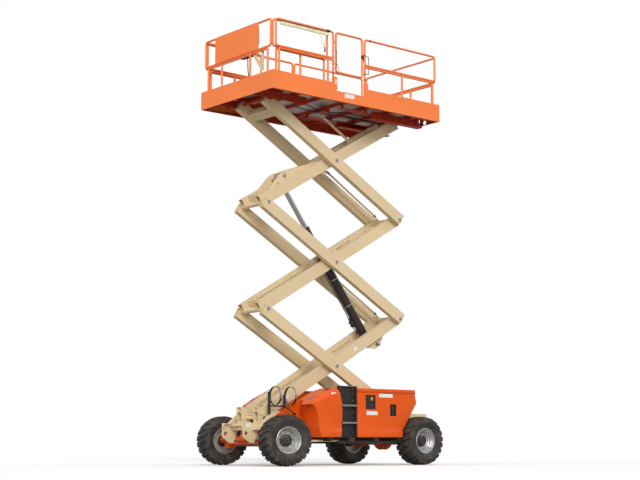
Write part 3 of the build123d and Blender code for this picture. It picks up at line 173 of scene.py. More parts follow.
def block(centre: Sequence[float], size: Sequence[float], edge: float = 0.002,
          where: Matrix | None = None) -> Piece:
    """Model a box with softened edges.

    Args:
        centre: its middle.
        size: its length along x, y and z.
        edge: width of its bevels.
        where: a placing done last.

    Returns:
        The object.
    """
    clear()
    bpy.ops.mesh.primitive_cube_add(size=1, location=centre)
    piece = bpy.context.object
    piece.scale = size
    settle(piece)
    if edge > 0:
        with editing(piece):
            bpy.ops.mesh.bevel(offset=edge, segments=2, affect="EDGES")
    return settle(piece, where)


def turned(profile: Sequence[tuple[float, float]], where: Matrix, sides: int = 32,
           closed: bool = False) -> Piece:
    """Model a round piece ring by ring along +Z, by extruding and resizing.

    Args:
        profile: (radius, height) of each ring, from the first face to the last.
        where: its placing.
        sides: faces round it.
        closed: join the last ring to the first, as a tyre, rather than fill the ends.

    Returns:
        The object.
    """
    radius, height = profile[0]
    clear()
    bpy.ops.mesh.primitive_circle_add(vertices=sides, radius=radius, location=(0, 0, height),
                                      fill_type="NOTHING" if closed else "NGON")
    piece = bpy.context.object
    settle(piece)
    extrude = bpy.ops.mesh.extrude_edges_move if closed else bpy.ops.mesh.extrude_region_move
    with editing(piece, "EDGE" if closed else "FACE"):
        for (last_r, last_z), (next_r, next_z) in zip(profile, profile[1:]):
            extrude(TRANSFORM_OT_translate={"value": (0, 0, next_z - last_z)})
            ratio = next_r / last_r
            bpy.ops.transform.resize(value=(ratio, ratio, 1), center_override=(0, 0, next_z))
        bpy.ops.mesh.select_all(action="SELECT")
        if closed:
            bpy.ops.mesh.remove_doubles(threshold=1e-5)
        bpy.ops.mesh.normals_make_consistent(inside=False)
    return settle(piece, where)


def ring(profile: Sequence[tuple[float, float]], where: Matrix, sides: int = 32) -> Piece:
    """Model a ring, open in its middle, from the (radius, height) corners of its section."""
    return smooth(turned([*profile, profile[0]], where, sides, True), 30)


def drum(base: Sequence[float], tip: Sequence[float], radius: float, edge: float = 0.001,
         sides: int = 24) -> Piece:
    """Model a round bar with softened rims.

    Args:
        base: middle of one end.
        tip: middle of the other end.
        radius: its radius.
        edge: size of the softened rims.
        sides: faces round it.

    Returns:
        The object.
    """
    length = (Vector(tip) - Vector(base)).length
    edge = min(edge, radius * 0.5, length * 0.4)
    rings = [(radius - edge, 0.0), (radius, edge), (radius, length - edge), (radius - edge, length)]
    return turned(rings, aim(base, tip), sides)


def hexagon(base: Sequence[float], tip: Sequence[float], width: float) -> Piece:
    """Model a six-sided bolt head with a chamfered crown on a washer.

    Args:
        base: middle of the washer's seat.
        tip: middle of the crown.
        width: across its flats.

    Returns:
        The object.
    """
    tall = (Vector(tip) - Vector(base)).length
    across = width / sqrt(3)
    where = aim(base, tip)
    washer = turned([(width * 0.68, 0), (width * 0.68, tall * 0.18), (width * 0.6, tall * 0.22)], where, 20)
    head = turned([(across, tall * 0.2), (across, tall * 0.88), (across * 0.84, tall)], where, 6)
    return join([washer, head], "bolt")


def line(name: str, points: Sequence[Sequence[float]], radius: float, order: int = 3,
         loop: bool = False) -> Piece:
    """Draw a round NURBS curve.

    Args:
        name: what it is called.
        points: its control points.
        radius: of the bevel.
        order: 2 keeps the runs straight, 3 rounds them.
        loop: join the last point to the first.

    Returns:
        The curve.
    """
    data = bpy.data.curves.new(name, "CURVE")
    data.dimensions = "3D"
    spline = data.splines.new("NURBS")
    spline.points.add(len(points) - 1)
    for knot, place in zip(spline.points, points):
        knot.co = (*place, 1.0)
    spline.use_endpoint_u = not loop
    spline.use_cyclic_u = loop
    spline.order_u = order
    spline.resolution_u = 12
    data.bevel_depth = radius
    data.bevel_resolution = 4
    data.use_fill_caps = not loop
    curve = bpy.data.objects.new(name, data)
    bpy.context.scene.collection.objects.link(curve)
    return curve


def pipe(points: Sequence[Sequence[float]], radius: float, order: int = 3, sides: int = 10,
         loop: bool = False) -> Piece:
    """Model a hose or bent bar along a smooth line.

    Args:
        points: what the line is drawn by.
        radius: of the hose.
        order: 2 keeps the runs straight, 3 rounds them.
        sides: faces round it.
        loop: join the last point to the first.

    Returns:
        The object, a mesh.
    """
    curve = line("line", points, radius, order, loop)
    curve.data.splines[0].resolution_u = 6
    curve.data.bevel_resolution = max(1, (sides - 4) // 2)
    bpy.context.view_layer.update()
    piece = bpy.data.objects.new("pipe", bpy.data.meshes.new_from_object(curve))
    bpy.context.scene.collection.objects.link(piece)
    bpy.data.objects.remove(curve)
    return smooth(piece, 50)


def bent_bar(corners: Sequence[Sequence[float]], radius: float, bend: float) -> Piece:
    """Model a bar of straight runs with rounded corners.

    Args:
        corners: where its runs meet, ends included.
        radius: of the bar.
        bend: how far from a corner its round starts.

    Returns:
        The object.
    """
    places = [Vector(corner) for corner in corners]
    route = [places[0]]
    for before, here, after in zip(places, places[1:], places[2:]):
        route.append(here + (before - here).normalized() * bend)
        route.append(here)
        route.append(here + (after - here).normalized() * bend)
    return pipe([tuple(place) for place in [*route, places[-1]]], radius)


def plate(outline: Sequence[tuple[float, float]], thickness: float, where: Matrix,
          edge: float = 0.0015) -> Piece:
    """Model a flat plate of any outline, from a filled ring extruded along +Z.

    Args:
        outline: (x, y) of its corners, in order round it.
        thickness: how thick it is.
        where: its placing.
        edge: width of its bevels.

    Returns:
        The object.
    """
    clear()
    bpy.ops.mesh.primitive_circle_add(vertices=len(outline), radius=1, fill_type="NGON")
    piece = bpy.context.object
    for corner, (x, y) in zip(piece.data.vertices, outline):
        corner.co = (x, y, 0)
    with editing(piece):
        bpy.ops.mesh.extrude_region_move(TRANSFORM_OT_translate={"value": (0, 0, thickness)})
        bpy.ops.mesh.select_all(action="SELECT")
        bpy.ops.mesh.normals_make_consistent(inside=False)
    if edge > 0:
        soften(piece, edge)
    return settle(piece, where)


def copy(piece: Piece, where: Matrix) -> Piece:
    """Copy an object with its own mesh to another place.

    Args:
        piece: the object.
        where: the placing of the copy.

    Returns:
        The copy.
    """
    twin = piece.copy()
    twin.data = piece.data.copy()
    bpy.context.scene.collection.objects.link(twin)
    return settle(twin, where)


def join(parts: Sequence[Piece], name: str) -> Piece:
    """Join objects into one.

    Args:
        parts: the objects.
        name: what the joined piece is called.

    Returns:
        The joined piece.
    """
    clear()
    for part in parts:
        part.select_set(True)
    bpy.context.view_layer.objects.active = parts[0]
    if len(parts) > 1:
        bpy.ops.object.join()
    parts[0].name = name
    parts[0].data.name = name
    return parts[0]


def basis(origin: Sequence[float], x_dir: Sequence[float], z_dir: Sequence[float]) -> Matrix:
    """Placing with a given x direction and z direction.

    Args:
        origin: where the origin goes.
        x_dir: where +X points.
        z_dir: where +Z points.

    Returns:
        The placing.
    """
    z = Vector(z_dir).normalized()
    x = (Vector(x_dir) - z * z.dot(Vector(x_dir))).normalized()
    y = z.cross(x)
    turn = Matrix((x, y, z)).transposed().to_4x4()
    return Matrix.Translation(Vector(origin)) @ turn


def upright(y: float, x: float = 0.0, z: float = 0.0) -> Matrix:
    """Placing for an outline of (x, z) that is extruded along +Y, moved by x, y and z."""
    return Matrix(((1, 0, 0, x), (0, 0, 1, y), (0, 1, 0, z), (0, 0, 0, 1)))


def sideways(place: Sequence[float], side: int) -> Matrix:
    """Placing with +Z pointing out across the machine, side 1 to the left and -1 to the right."""
    return aim(place, (place[0], side * 9, place[2]))




# --- finishes
class Nodes:
    """A material's node tree, built a node at a time."""

    def __init__(self, name: str) -> None:
        """Start a material with an empty surface shader.

        Args:
            name: what the material is called.
        """
        self.material = bpy.data.materials.new(name)
        self.material.use_nodes = True
        self.tree = self.material.node_tree
        self.shader = self.tree.nodes["Principled BSDF"]
        self.place = self.tree.nodes.new("ShaderNodeTexCoord").outputs["Object"]

    def link(self, source: Socket, target: Socket) -> None:
        """Join an output to an input."""
        self.tree.links.new(source, target)

    def add(self, kind: str, **numbers: float | Sequence[float]) -> bpy.types.Node:
        """Add a node.

        Args:
            kind: its type, without ShaderNode.
            numbers: values of its inputs, an underscore for each space.

        Returns:
            The node.
        """
        node = self.tree.nodes.new(f"ShaderNode{kind}")
        for name, number in numbers.items():
            node.inputs[name.replace("_", " ")].default_value = number
        return node

    def put(self, **values: float | Sequence[float] | Socket) -> None:
        """Set or join the surface shader's own inputs, an underscore for each space."""
        for name, value in values.items():
            target = self.shader.inputs[name.replace("_", " ")]
            if isinstance(value, Socket):
                self.link(value, target)
            else:
                target.default_value = value

    def noise(self, scale: float, detail: float = 3.0, rough: float = 0.5, stretch: Point = (1, 1, 1)) -> Socket:
        """Add a noise pattern on the object's own coordinates.

        Args:
            scale: cells to the metre.
            detail: how many finer layers it has.
            rough: strength of the finer layers.
            stretch: scale along each axis.

        Returns:
            The pattern, 0 to 1.
        """
        mapping = self.add("Mapping", Scale=stretch)
        self.link(self.place, mapping.inputs["Vector"])
        node = self.add("TexNoise", Scale=scale, Detail=detail, Roughness=rough)
        self.link(mapping.outputs["Vector"], node.inputs["Vector"])
        return node.outputs["Fac"]

    def ramp(self, value: Socket, stops: Sequence[tuple[float, Colour]]) -> Socket:
        """Turn a value into a colour.

        Args:
            value: what is looked up.
            stops: place and colour of each stop.

        Returns:
            The colour.
        """
        node = self.add("ValToRGB")
        bar = node.color_ramp
        while len(bar.elements) < len(stops):
            bar.elements.new(0.5)
        for element, (place, colour) in zip(bar.elements, stops):
            element.position = place
            element.color = (*colour, 1.0)
        self.link(value, node.inputs["Fac"])
        return node.outputs["Color"]

    def spread(self, value: Socket, low: float, high: float, to_low: float, to_high: float) -> Socket:
        """Stretch a value from one range to another, clamped.

        Args:
            value: what is stretched.
            low: start of its range.
            high: end of its range.
            to_low: what the start becomes.
            to_high: what the end becomes.

        Returns:
            The stretched value.
        """
        node = self.add("MapRange", From_Min=low, From_Max=high, To_Min=to_low, To_Max=to_high)
        self.link(value, node.inputs["Value"])
        return node.outputs["Result"]

    def uneven(self, start: float, more: float, *pattern: float | Point) -> Socket:
        """Let a value vary with a noise pattern.

        Args:
            start: the least value.
            more: how much is added at most.
            pattern: what noise takes.

        Returns:
            The value.
        """
        return self.spread(self.noise(*pattern), 0.3, 0.7, start, start + more)

    def blend(self, amount: Socket, first: Socket | Colour, second: Socket | Colour) -> Socket:
        """Mix two colours.

        Args:
            amount: 0 for the first, 1 for the second.
            first: a colour or a socket.
            second: a colour or a socket.

        Returns:
            The mixed colour.
        """
        node = self.add("Mix")
        node.data_type = "RGBA"
        self.link(amount, node.inputs[0])
        for slot, colour in ((6, first), (7, second)):
            if isinstance(colour, tuple):
                node.inputs[slot].default_value = (*colour, 1.0)
            else:
                self.link(colour, node.inputs[slot])
        return node.outputs[2]

    def upward(self) -> Socket:
        """Say how far a face looks up, 0 for walls and 1 for tops."""
        geometry = self.add("NewGeometry")
        split = self.add("SeparateXYZ")
        self.link(geometry.outputs["Normal"], split.inputs["Vector"])
        return self.spread(split.outputs["Z"], 0.2, 0.95, 0.0, 1.0)

    def edges(self, reach: float) -> Socket:
        """Say where an edge is near, from how a rounded normal leaves the true one.

        Args:
            reach: how far from the edge it is felt.

        Returns:
            The mark, 1 on an edge and 0 on a flat.
        """
        rounded = self.add("Bevel", Radius=reach)
        rounded.samples = 4
        geometry = self.add("NewGeometry")
        dot = self.add("VectorMath")
        dot.operation = "DOT_PRODUCT"
        self.link(rounded.outputs["Normal"], dot.inputs[0])
        self.link(geometry.outputs["Normal"], dot.inputs[1])
        return self.spread(dot.outputs["Value"], 0.97, 0.8, 0.0, 1.0)

    def bump(self, height: Socket, depth: float, strength: float = 1.0) -> None:
        """Raise the surface by a pattern, on top of an earlier bump.

        Args:
            height: the pattern.
            depth: its full height in metres.
            strength: how strongly it shades.
        """
        node = self.add("Bump", Strength=strength, Distance=depth)
        self.link(height, node.inputs["Height"])
        normal = self.shader.inputs["Normal"]
        if normal.is_linked:
            self.link(normal.links[0].from_socket, node.inputs["Normal"])
        self.link(node.outputs["Normal"], normal)

    def round_edges(self, radius: float) -> None:
        """Shade sharp edges as if they were rounded.

        Args:
            radius: of the round.
        """
        rounded = self.add("Bevel", Radius=radius)
        rounded.samples = 4
        self.link(rounded.outputs["Normal"], self.shader.inputs["Normal"])


@dataclass(frozen=True)
class Paint:
    """Sprayed enamel with faint mottling, orange peel, dust on tops, and edges in their own colour, part rubbed wear
    and part painted highlight.
    """

    name: str
    colour: Colour
    # edge colour: part rubbed wear, part painted highlight
    edge_wear_and_highlight: Colour
    roughness: float = 0.32
    gloss: float = 0.25
    shine: float = 0.35
    dust: Colour = (0.55, 0.47, 0.38)
    dusty: float = 0.10
    metal: float = 0.0
    slot: str = ""

    def make(self) -> bpy.types.Material:
        """Build the material."""
        nodes = Nodes(self.name)
        shade = tuple(channel * 0.955 for channel in self.colour)
        light = tuple(min(1.0, channel * 1.02) for channel in self.colour)
        mottle = nodes.ramp(nodes.noise(1.1, 5.0, 0.6), [(0.35, shade), (0.65, light)])
        grime = nodes.spread(nodes.noise(16.0, 8.0, 0.7, (1, 1, 0.4)), 0.56, 0.8, 0.0, self.dusty)
        tinted = nodes.blend(grime, mottle, self.dust)
        settled = nodes.spread(nodes.upward(), 0.0, 1.0, 0.0, self.dusty * 1.5)
        tinted = nodes.blend(settled, tinted, self.dust)
        # own colour along the edges: part rubbed wear, part painted highlight
        worn_and_highlit = nodes.blend(nodes.spread(nodes.edges(0.006), 0.0, 1.0, 0.0, 0.35), tinted, self.edge_wear_and_highlight)
        nodes.put(Base_Color=worn_and_highlit, Roughness=nodes.uneven(self.roughness, 0.1, 14.0), Metallic=self.metal,
                  Specular_IOR_Level=self.shine, Coat_Weight=self.gloss, Coat_Roughness=0.12)
        nodes.round_edges(0.004)
        nodes.bump(nodes.noise(260.0, 2.0), 0.0002, 0.4)
        return nodes.material


@dataclass(frozen=True)
class Rubber:
    """Dull rubber with fine grain and pale dust in its hollows."""

    name: str
    colour: Colour = (0.030, 0.026, 0.024)
    dust: Colour = (0.16, 0.125, 0.10)
    dusty: float = 0.5
    roughness: float = 0.62
    slot: str = ""

    def make(self) -> bpy.types.Material:
        """Build the material."""
        nodes = Nodes(self.name)
        cloud = nodes.spread(nodes.noise(7.0, 6.0, 0.6), 0.42, 0.72, 0.0, self.dusty)
        nodes.put(Base_Color=nodes.blend(cloud, self.colour, self.dust),
                  Roughness=nodes.uneven(self.roughness, 0.2, 30.0), Specular_IOR_Level=0.4)
        nodes.bump(nodes.noise(420.0, 3.0), 0.0004, 0.5)
        return nodes.material


@dataclass(frozen=True)
class Metal:
    """Bare or plated metal with drawn grain and faint stains."""

    name: str
    colour: Colour
    stain: Colour
    roughness: float = 0.3
    grain: Point = (1.0, 1.0, 1.0)
    stained: float = 0.35
    metal: float = 1.0
    slot: str = ""

    def make(self) -> bpy.types.Material:
        """Build the material."""
        nodes = Nodes(self.name)
        patch = nodes.spread(nodes.noise(8.0, 5.0, 0.6), 0.5, 0.8, 0.0, self.stained)
        nodes.put(Base_Color=nodes.blend(patch, self.colour, self.stain), Metallic=self.metal,
                  Roughness=nodes.uneven(self.roughness, 0.14, 60.0, 4.0, 0.6, self.grain))
        if self.roughness > 0.2:
            nodes.round_edges(0.003)
            nodes.bump(nodes.noise(180.0, 3.0, 0.5, self.grain), 0.0003, 0.3)
        return nodes.material


@dataclass(frozen=True)
class Plastic:
    """Moulded plastic with a fine leather grain."""

    name: str
    colour: Colour
    roughness: float = 0.45
    slot: str = ""

    def make(self) -> bpy.types.Material:
        """Build the material."""
        nodes = Nodes(self.name)
        shade = tuple(channel * 0.8 for channel in self.colour)
        nodes.put(Base_Color=nodes.ramp(nodes.noise(12.0, 4.0), [(0.35, shade), (0.65, self.colour)]),
                  Roughness=nodes.uneven(self.roughness, 0.12, 40.0))
        nodes.round_edges(0.002)
        nodes.bump(nodes.noise(600.0, 2.0), 0.0002, 0.5)
        return nodes.material


class Finish(Enum):
    """Every finish on the machine."""

    # each Paint's second colour goes on its edges: part rubbed wear, part painted highlight
    HOOD = Paint("hood_orange", (0.76, 0.098, 0.007), (0.88, 0.26, 0.08), 0.33, 0.06, 0.2, dusty=0.05,
                 slot="orange_paint")
    ORANGE = Paint("orange_enamel", (0.93, 0.225, 0.055), (0.95, 0.40, 0.18), 0.34, 0.08, 0.3, dusty=0.05,
                   slot="orange_paint")
    CREAM = Paint("cream_enamel", (0.72, 0.57, 0.345), (0.80, 0.68, 0.47), 0.38, 0.06, 0.3, dusty=0.06,
                  slot="tan_paint")
    RED = Paint("underside_red", (0.50, 0.040, 0.012), (0.55, 0.10, 0.05), 0.42, 0.05, 0.25, dusty=0.04,
                slot="red_oxide")
    BLACK = Paint("black_enamel", (0.022, 0.018, 0.018), (0.07, 0.06, 0.06), 0.34, 0.25, dusty=0.05,
                  slot="black_paint")
    CYLINDER = Paint("cylinder_black", (0.030, 0.021, 0.020), (0.09, 0.07, 0.065), 0.28, 0.4, dusty=0.05,
                     slot="black_paint")
    WHITE = Paint("white_film", (0.80, 0.80, 0.78), (0.7, 0.7, 0.68), 0.4, 0.1, dusty=0.05)
    TYRE = Rubber("tyre_rubber", slot="tyre")
    HOSE = Rubber("hose_rubber", (0.018, 0.016, 0.016), (0.06, 0.05, 0.045), 0.3, 0.5, slot="hose_rubber")
    RIM = Metal("rim_silver", (0.60, 0.60, 0.60), (0.42, 0.40, 0.38), 0.34, metal=0.75, slot="rim_steel")
    STEEL = Metal("plain_steel", (0.50, 0.49, 0.47), (0.28, 0.22, 0.17), 0.36, slot="steel")
    CHROME = Metal("hard_chrome", (0.62, 0.62, 0.63), (0.5, 0.5, 0.5), 0.16, stained=0.1)
    DARK = Metal("phosphated_steel", (0.10, 0.09, 0.085), (0.05, 0.045, 0.04), 0.45)
    TREAD = Metal("deck_aluminium", (0.62, 0.60, 0.56), (0.40, 0.35, 0.29), 0.40, metal=0.8)
    STEP = Metal("step_grey", (0.30, 0.30, 0.31), (0.17, 0.15, 0.14), 0.42, metal=0.6, slot="black_paint")
    HUB = Paint("hub_black", (0.035, 0.028, 0.025), (0.12, 0.10, 0.09), 0.5, 0.05, dusty=0.3)
    PLASTIC_BLACK = Plastic("black_plastic", (0.028, 0.027, 0.027))
    PLASTIC_CREAM = Plastic("cream_plastic", (0.86, 0.80, 0.52), 0.5)
    PLASTIC_RED = Plastic("red_plastic", (0.65, 0.02, 0.015), 0.3)
    PLASTIC_YELLOW = Plastic("yellow_plastic", (0.85, 0.50, 0.03), 0.35)
    PLASTIC_GREEN = Plastic("green_plastic", (0.05, 0.35, 0.16), 0.35)

    @property
    def material(self) -> bpy.types.Material:
        """The finish's material, made the first time it is asked for."""
        found = bpy.data.materials.get(self.value.name)
        return found if found else self.value.make()


def finish_piece(piece: Piece, body: str, finish: Finish, stands_for: Sequence[str] = (),
                 slot: str | None = None) -> None:
    """Give a piece its material and its body, and report it.

    Args:
        piece: the piece.
        body: the body it moves with.
        finish: what it is finished in.
        stands_for: the frame's nodes that it replaces.
        slot: the record's material slot, if it isn't the finish's own; worked out but not used.
    """
    piece.data.materials.clear()
    piece.data.materials.append(finish.material)
    for face in piece.data.polygons:
        face.material_index = 0
    if stands_for:
        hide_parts(*stands_for)
    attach(piece, body)
    slot = finish.value.slot if slot is None else slot
    LOG.info("%s on %s, %s", piece.name, body, finish.value.name)


def fit(parts: Sequence[Piece], name: str, body: str, finish: Finish, angle: float = 0.0,
        stands_for: Sequence[str] = ()) -> None:
    """Join parts into one piece, shade it and finish it.

    Args:
        parts: the parts.
        name: what the piece is called.
        body: the body it moves with.
        finish: what it is finished in.
        angle: the sharpest turn shaded smooth, in degrees, or 0 to leave the shading alone.
        stands_for: the frame's nodes that it replaces.
    """
    piece = join(parts, name)
    if angle:
        smooth(piece, angle)
    finish_piece(piece, body, finish, stands_for)


def dress(node: str, finish: Finish) -> None:
    """Give a node of the frame its material.

    Args:
        node: the node's name.
        finish: what it is finished in.
    """
    piece = frame["nodes"][node]
    piece.data.materials.clear()
    piece.data.materials.append(finish.material)


# --- wheels
class Corner(Enum):
    """The four wheels, with their side of the machine."""

    FRONT_LEFT = ("front_left", 1)
    FRONT_RIGHT = ("front_right", -1)
    REAR_LEFT = ("rear_left", 1)
    REAR_RIGHT = ("rear_right", -1)

    @property
    def label(self) -> str:
        """Its name in piece names."""
        return self.value[0]

    @property
    def side(self) -> int:
        """1 on the left, -1 on the right."""
        return self.value[1]

    @property
    def body(self) -> str:
        """The body it turns with."""
        return f"{self.label}_wheel"


@dataclass
class Wheels:
    """Tyres with block treads, and what is bolted to the rims.  Heights run outboard from the tyre's middle."""

    tyre_r: float = 0.4175
    tread_base_r: float = 0.391
    half_width: float = 0.199
    bead_r: float = 0.2203
    lugs: int = 22
    nuts: int = 9
    nut_circle_r: float = 0.130
    disc_face: float = 0.010
    hub_r: float = 0.100
    hub_face: float = 0.065

    def place(self, corner: Corner) -> Matrix:
        """Placing of a wheel, +Z outboard along its axle."""
        low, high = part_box(f"tyre_{corner.label}")
        joint = next(row for row in frame["joints"] if row["name"].startswith(corner.label)
                     and "spin" in row["name"])
        axis = Vector(joint["axis"]) * corner.side
        return basis((low + high) / 2, (0, 0, 1), axis)

    def carcass(self) -> Piece:
        """Model the tyre's body, with bead, ribbed side wall, shoulder and tread base."""
        wall = [(self.bead_r, 0.148), (0.236, 0.158), (0.252, 0.163), (0.262, 0.171), (0.272, 0.170),
                (0.280, 0.177), (0.300, 0.188), (0.318, 0.192), (0.322, 0.196), (0.330, 0.196),
                (0.334, 0.191), (0.352, 0.190), (0.368, 0.182), (0.380, 0.168), (self.tread_base_r, 0.140),
                (self.tread_base_r + 0.002, 0.070)]
        inner = [(self.bead_r, 0.120), (0.30, 0.150)]
        profile = wall + [(r, -z) for r, z in reversed(wall)]
        profile += [(r, -z) for r, z in inner] + [(r, z) for r, z in reversed(inner)] + [wall[0]]
        return smooth(turned(profile, Matrix.Identity(4), 72, closed=True), 50)

    def lug(self) -> Piece:
        """Model one tread block, from mid tread over the shoulder and down the side wall."""
        clear()
        bpy.ops.mesh.primitive_cube_add(size=1, location=(self.tread_base_r + 0.004, 0, 0.088))
        piece = bpy.context.object
        piece.scale = (0.043, 0.086, 0.150)
        settle(piece)
        with editing(piece):
            bpy.ops.mesh.subdivide(number_cuts=1)
        for point in piece.data.vertices:
            x, y, z = point.co
            outer = z > 0.12
            if outer:
                x -= 0.020
                y *= 0.98
                z += 0.026
            elif z > 0.05:
                x = min(x, self.tyre_r - 0.001)
            y += 0.018 * (0.5 - (z - 0.013) / 0.15) * 2
            if x > self.tread_base_r + 0.005:
                y *= 0.94
            point.co = (min(x, self.tyre_r), y, min(z, self.half_width))
        return soften(piece, 0.004, 1, 40)

    def around(self, model: Piece, step: int) -> list[Piece]:
        """Copy a block round both sides of the tyre, one side half a pitch on from the other.

        Args:
            model: the block, which is dropped.
            step: how many half pitches on from the start the first copy stands.

        Returns:
            The copies.
        """
        copies = []
        for index in range(2 * self.lugs):
            turn = Matrix.Rotation(pi * (index + step) / self.lugs, 4, "Z")
            if index % 2:
                turn = turn @ Matrix.Rotation(pi, 4, "X")
            copies.append(copy(model, turn))
        bpy.data.objects.remove(model)
        return copies

    def rim_rings(self) -> Piece:
        """Model the stepped outer well of the rim, from its lip in to the disc."""
        steps = [(0.2195, 0.1485), (0.2195, 0.160), (0.214, 0.163), (0.208, 0.160), (0.206, 0.140),
                 (0.196, 0.128), (0.194, 0.104), (0.182, 0.094), (0.180, 0.062), (0.168, 0.052),
                 (0.164, 0.030), (0.152, 0.016), (0.152, 0.0112), (0.207, 0.0112)]
        return smooth(turned(steps + [steps[0]], Matrix.Identity(4), 64, closed=True), 30)

    def wheel_nuts(self) -> Piece:
        """Model the ring of nuts on their studs."""
        face = self.disc_face
        nut = hexagon((self.nut_circle_r, 0, face + 0.0005), (self.nut_circle_r, 0, face + 0.024), 0.030)
        stud = drum((self.nut_circle_r, 0, face + 0.002), (self.nut_circle_r, 0, face + 0.036), 0.0085, 0.002, 12)
        one = join([nut, stud], "nut")
        nuts = [copy(one, Matrix.Rotation(2 * pi * index / self.nuts, 4, "Z")) for index in range(self.nuts)]
        bpy.data.objects.remove(one)
        return smooth(join(nuts, "nuts"), 30)

    def hub_cap(self) -> Piece:
        """Model the planetary hub's cover with its bolts and filler plug."""
        face = self.hub_face
        cap = turned([(self.hub_r - 0.002, face + 0.0006), (self.hub_r - 0.002, face + 0.010),
                      (self.hub_r - 0.014, face + 0.016), (0.070, face + 0.018), (0.064, face + 0.030),
                      (0.040, face + 0.034), (0.036, face + 0.030), (0.018, face + 0.030)],
                     Matrix.Identity(4), 40)
        parts = [smooth(cap, 30)]
        for index in range(8):
            angle = 2 * pi * index / 8 + 0.2
            x, y = 0.083 * cos(angle), 0.083 * sin(angle)
            parts.append(hexagon((x, y, face + 0.014), (x, y, face + 0.026), 0.013))
        parts.append(hexagon((0.0, 0.0, face + 0.029), (0.0, 0.0, face + 0.042), 0.022))
        return join(parts, "hub_cap")

    def darken_hub(self, corner: Corner) -> None:
        """Give the hub's faces of a rim their own finish.

        Args:
            corner: which wheel.
        """
        rim = frame["nodes"][f"rim_{corner.label}"]
        rim.data.materials.append(Finish.HUB.material)
        back = self.place(corner).inverted()
        for face in rim.data.polygons:
            at = back @ face.center
            if Vector((at.x, at.y)).length < self.hub_r + 0.001 and abs(at.z) > self.disc_face + 0.001:
                face.material_index = 1

    def build(self) -> None:
        """Model one wheel's pieces, place a copy at each corner and dress them."""
        bar = block((0.352, 0, 0.186), (0.034, 0.020, 0.016), 0.003)
        tyre = join([self.carcass(), *self.around(self.lug(), 0), *self.around(bar, 1)], "tyre")
        rings = self.rim_rings()
        nuts = self.wheel_nuts()
        cap = self.hub_cap()
        for corner in Corner:
            where = self.place(corner)
            label = corner.label
            for model, name, finish, slot, stands_for in (
                    (tyre, f"{label}_block_tyre", Finish.TYRE, "tyre", [f"tyre_{label}"]),
                    (rings, f"{label}_rim_well", Finish.RIM, "rim_steel", []),
                    (nuts, f"{label}_wheel_nuts", Finish.STEEL, "rim_steel", []),
                    (cap, f"{label}_hub_cap", Finish.HUB, "", [])):
                piece = copy(model, where)
                piece.name = name
                finish_piece(piece, corner.body, finish, stands_for, slot)
            dress(f"rim_{label}", Finish.RIM)
            self.darken_hub(corner)
        for model in (tyre, rings, nuts, cap):
            bpy.data.objects.remove(model)


# --- hoods and covers
def drawn_in(outline: Outline, amount: float) -> Outline:
    """Offset a closed outline toward its inside.

    Args:
        outline: its corners, in order.
        amount: how far every side moves.

    Returns:
        The corners of the smaller outline.
    """
    area = sum(x0 * z1 - x1 * z0 for (x0, z0), (x1, z1) in zip(outline, outline[1:] + outline[:1]))
    turn = 1 if area > 0 else -1
    corners = [Vector(corner) for corner in outline]
    result = []
    for before, here, after in zip(corners[-1:] + corners[:-1], corners, corners[1:] + corners[:1]):
        into = (here - before).normalized()
        out = (after - here).normalized()
        into_n = Vector((-into.y, into.x)) * turn
        out_n = Vector((-out.y, out.x)) * turn
        middle = (into_n + out_n).normalized()
        step = middle * (amount / max(0.3, middle.dot(into_n)))
        result.append(tuple(here + step))
    return tuple(result)


def eased(outline: Outline, limit: float = 0.75) -> Outline:
    """Round an outline's shallow corners by cutting them, and keep its sharp ones.

    Args:
        outline: its corners, in order round it.
        limit: the turn, in radians, from which a corner is kept.

    Returns:
        The rounded outline.
    """
    made = []
    for before, here, after in zip(outline[-1:] + outline[:-1], outline, outline[1:] + outline[:1]):
        come, leave = Vector(here) - Vector(before), Vector(after) - Vector(here)
        if come.angle(leave) > limit:
            made.append(here)
        else:
            made.append(tuple(Vector(here) - come * 0.25))
            made.append(tuple(Vector(here) + leave * 0.25))
    return tuple(made)


def read_off(profile: Sequence[tuple[float, float]], at: float) -> float:
    """Read a value off a line of (place, value) corners, held flat past its ends.

    Args:
        profile: the corners, in order.
        at: the place.

    Returns:
        The value there.
    """
    for (near, low), (far, high) in zip(profile, profile[1:]):
        if at <= far:
            return low + (high - low) * max(0.0, at - near) / (far - near)
    return profile[-1][1]


def cut_across(piece: Piece, axis: int, places: Sequence[float]) -> None:
    """Cut a solid's faces by planes square to one axis.

    Args:
        piece: the solid.
        axis: 0, 1 or 2.
        places: where the planes stand along it.
    """
    normal = tuple(float(index == axis) for index in range(3))
    with editing(piece):
        for place in places:
            bpy.ops.mesh.select_all(action="SELECT")
            bpy.ops.mesh.bisect(plane_co=[place * part for part in normal], plane_no=normal)


def carve(piece: Piece, tool: Piece, way: str = "DIFFERENCE") -> Piece:
    """Cut one solid by another, or keep what they share, and drop the tool.

    Args:
        piece: the solid that is cut.
        tool: the solid that cuts.
        way: DIFFERENCE, INTERSECT or UNION.

    Returns:
        The cut solid.
    """
    only(piece)
    cut = piece.modifiers.new("Carve", "BOOLEAN")
    cut.operation = way
    cut.solver = "EXACT"
    cut.object = tool
    bpy.ops.object.modifier_apply(modifier=cut.name)
    bpy.data.objects.remove(tool)
    return piece


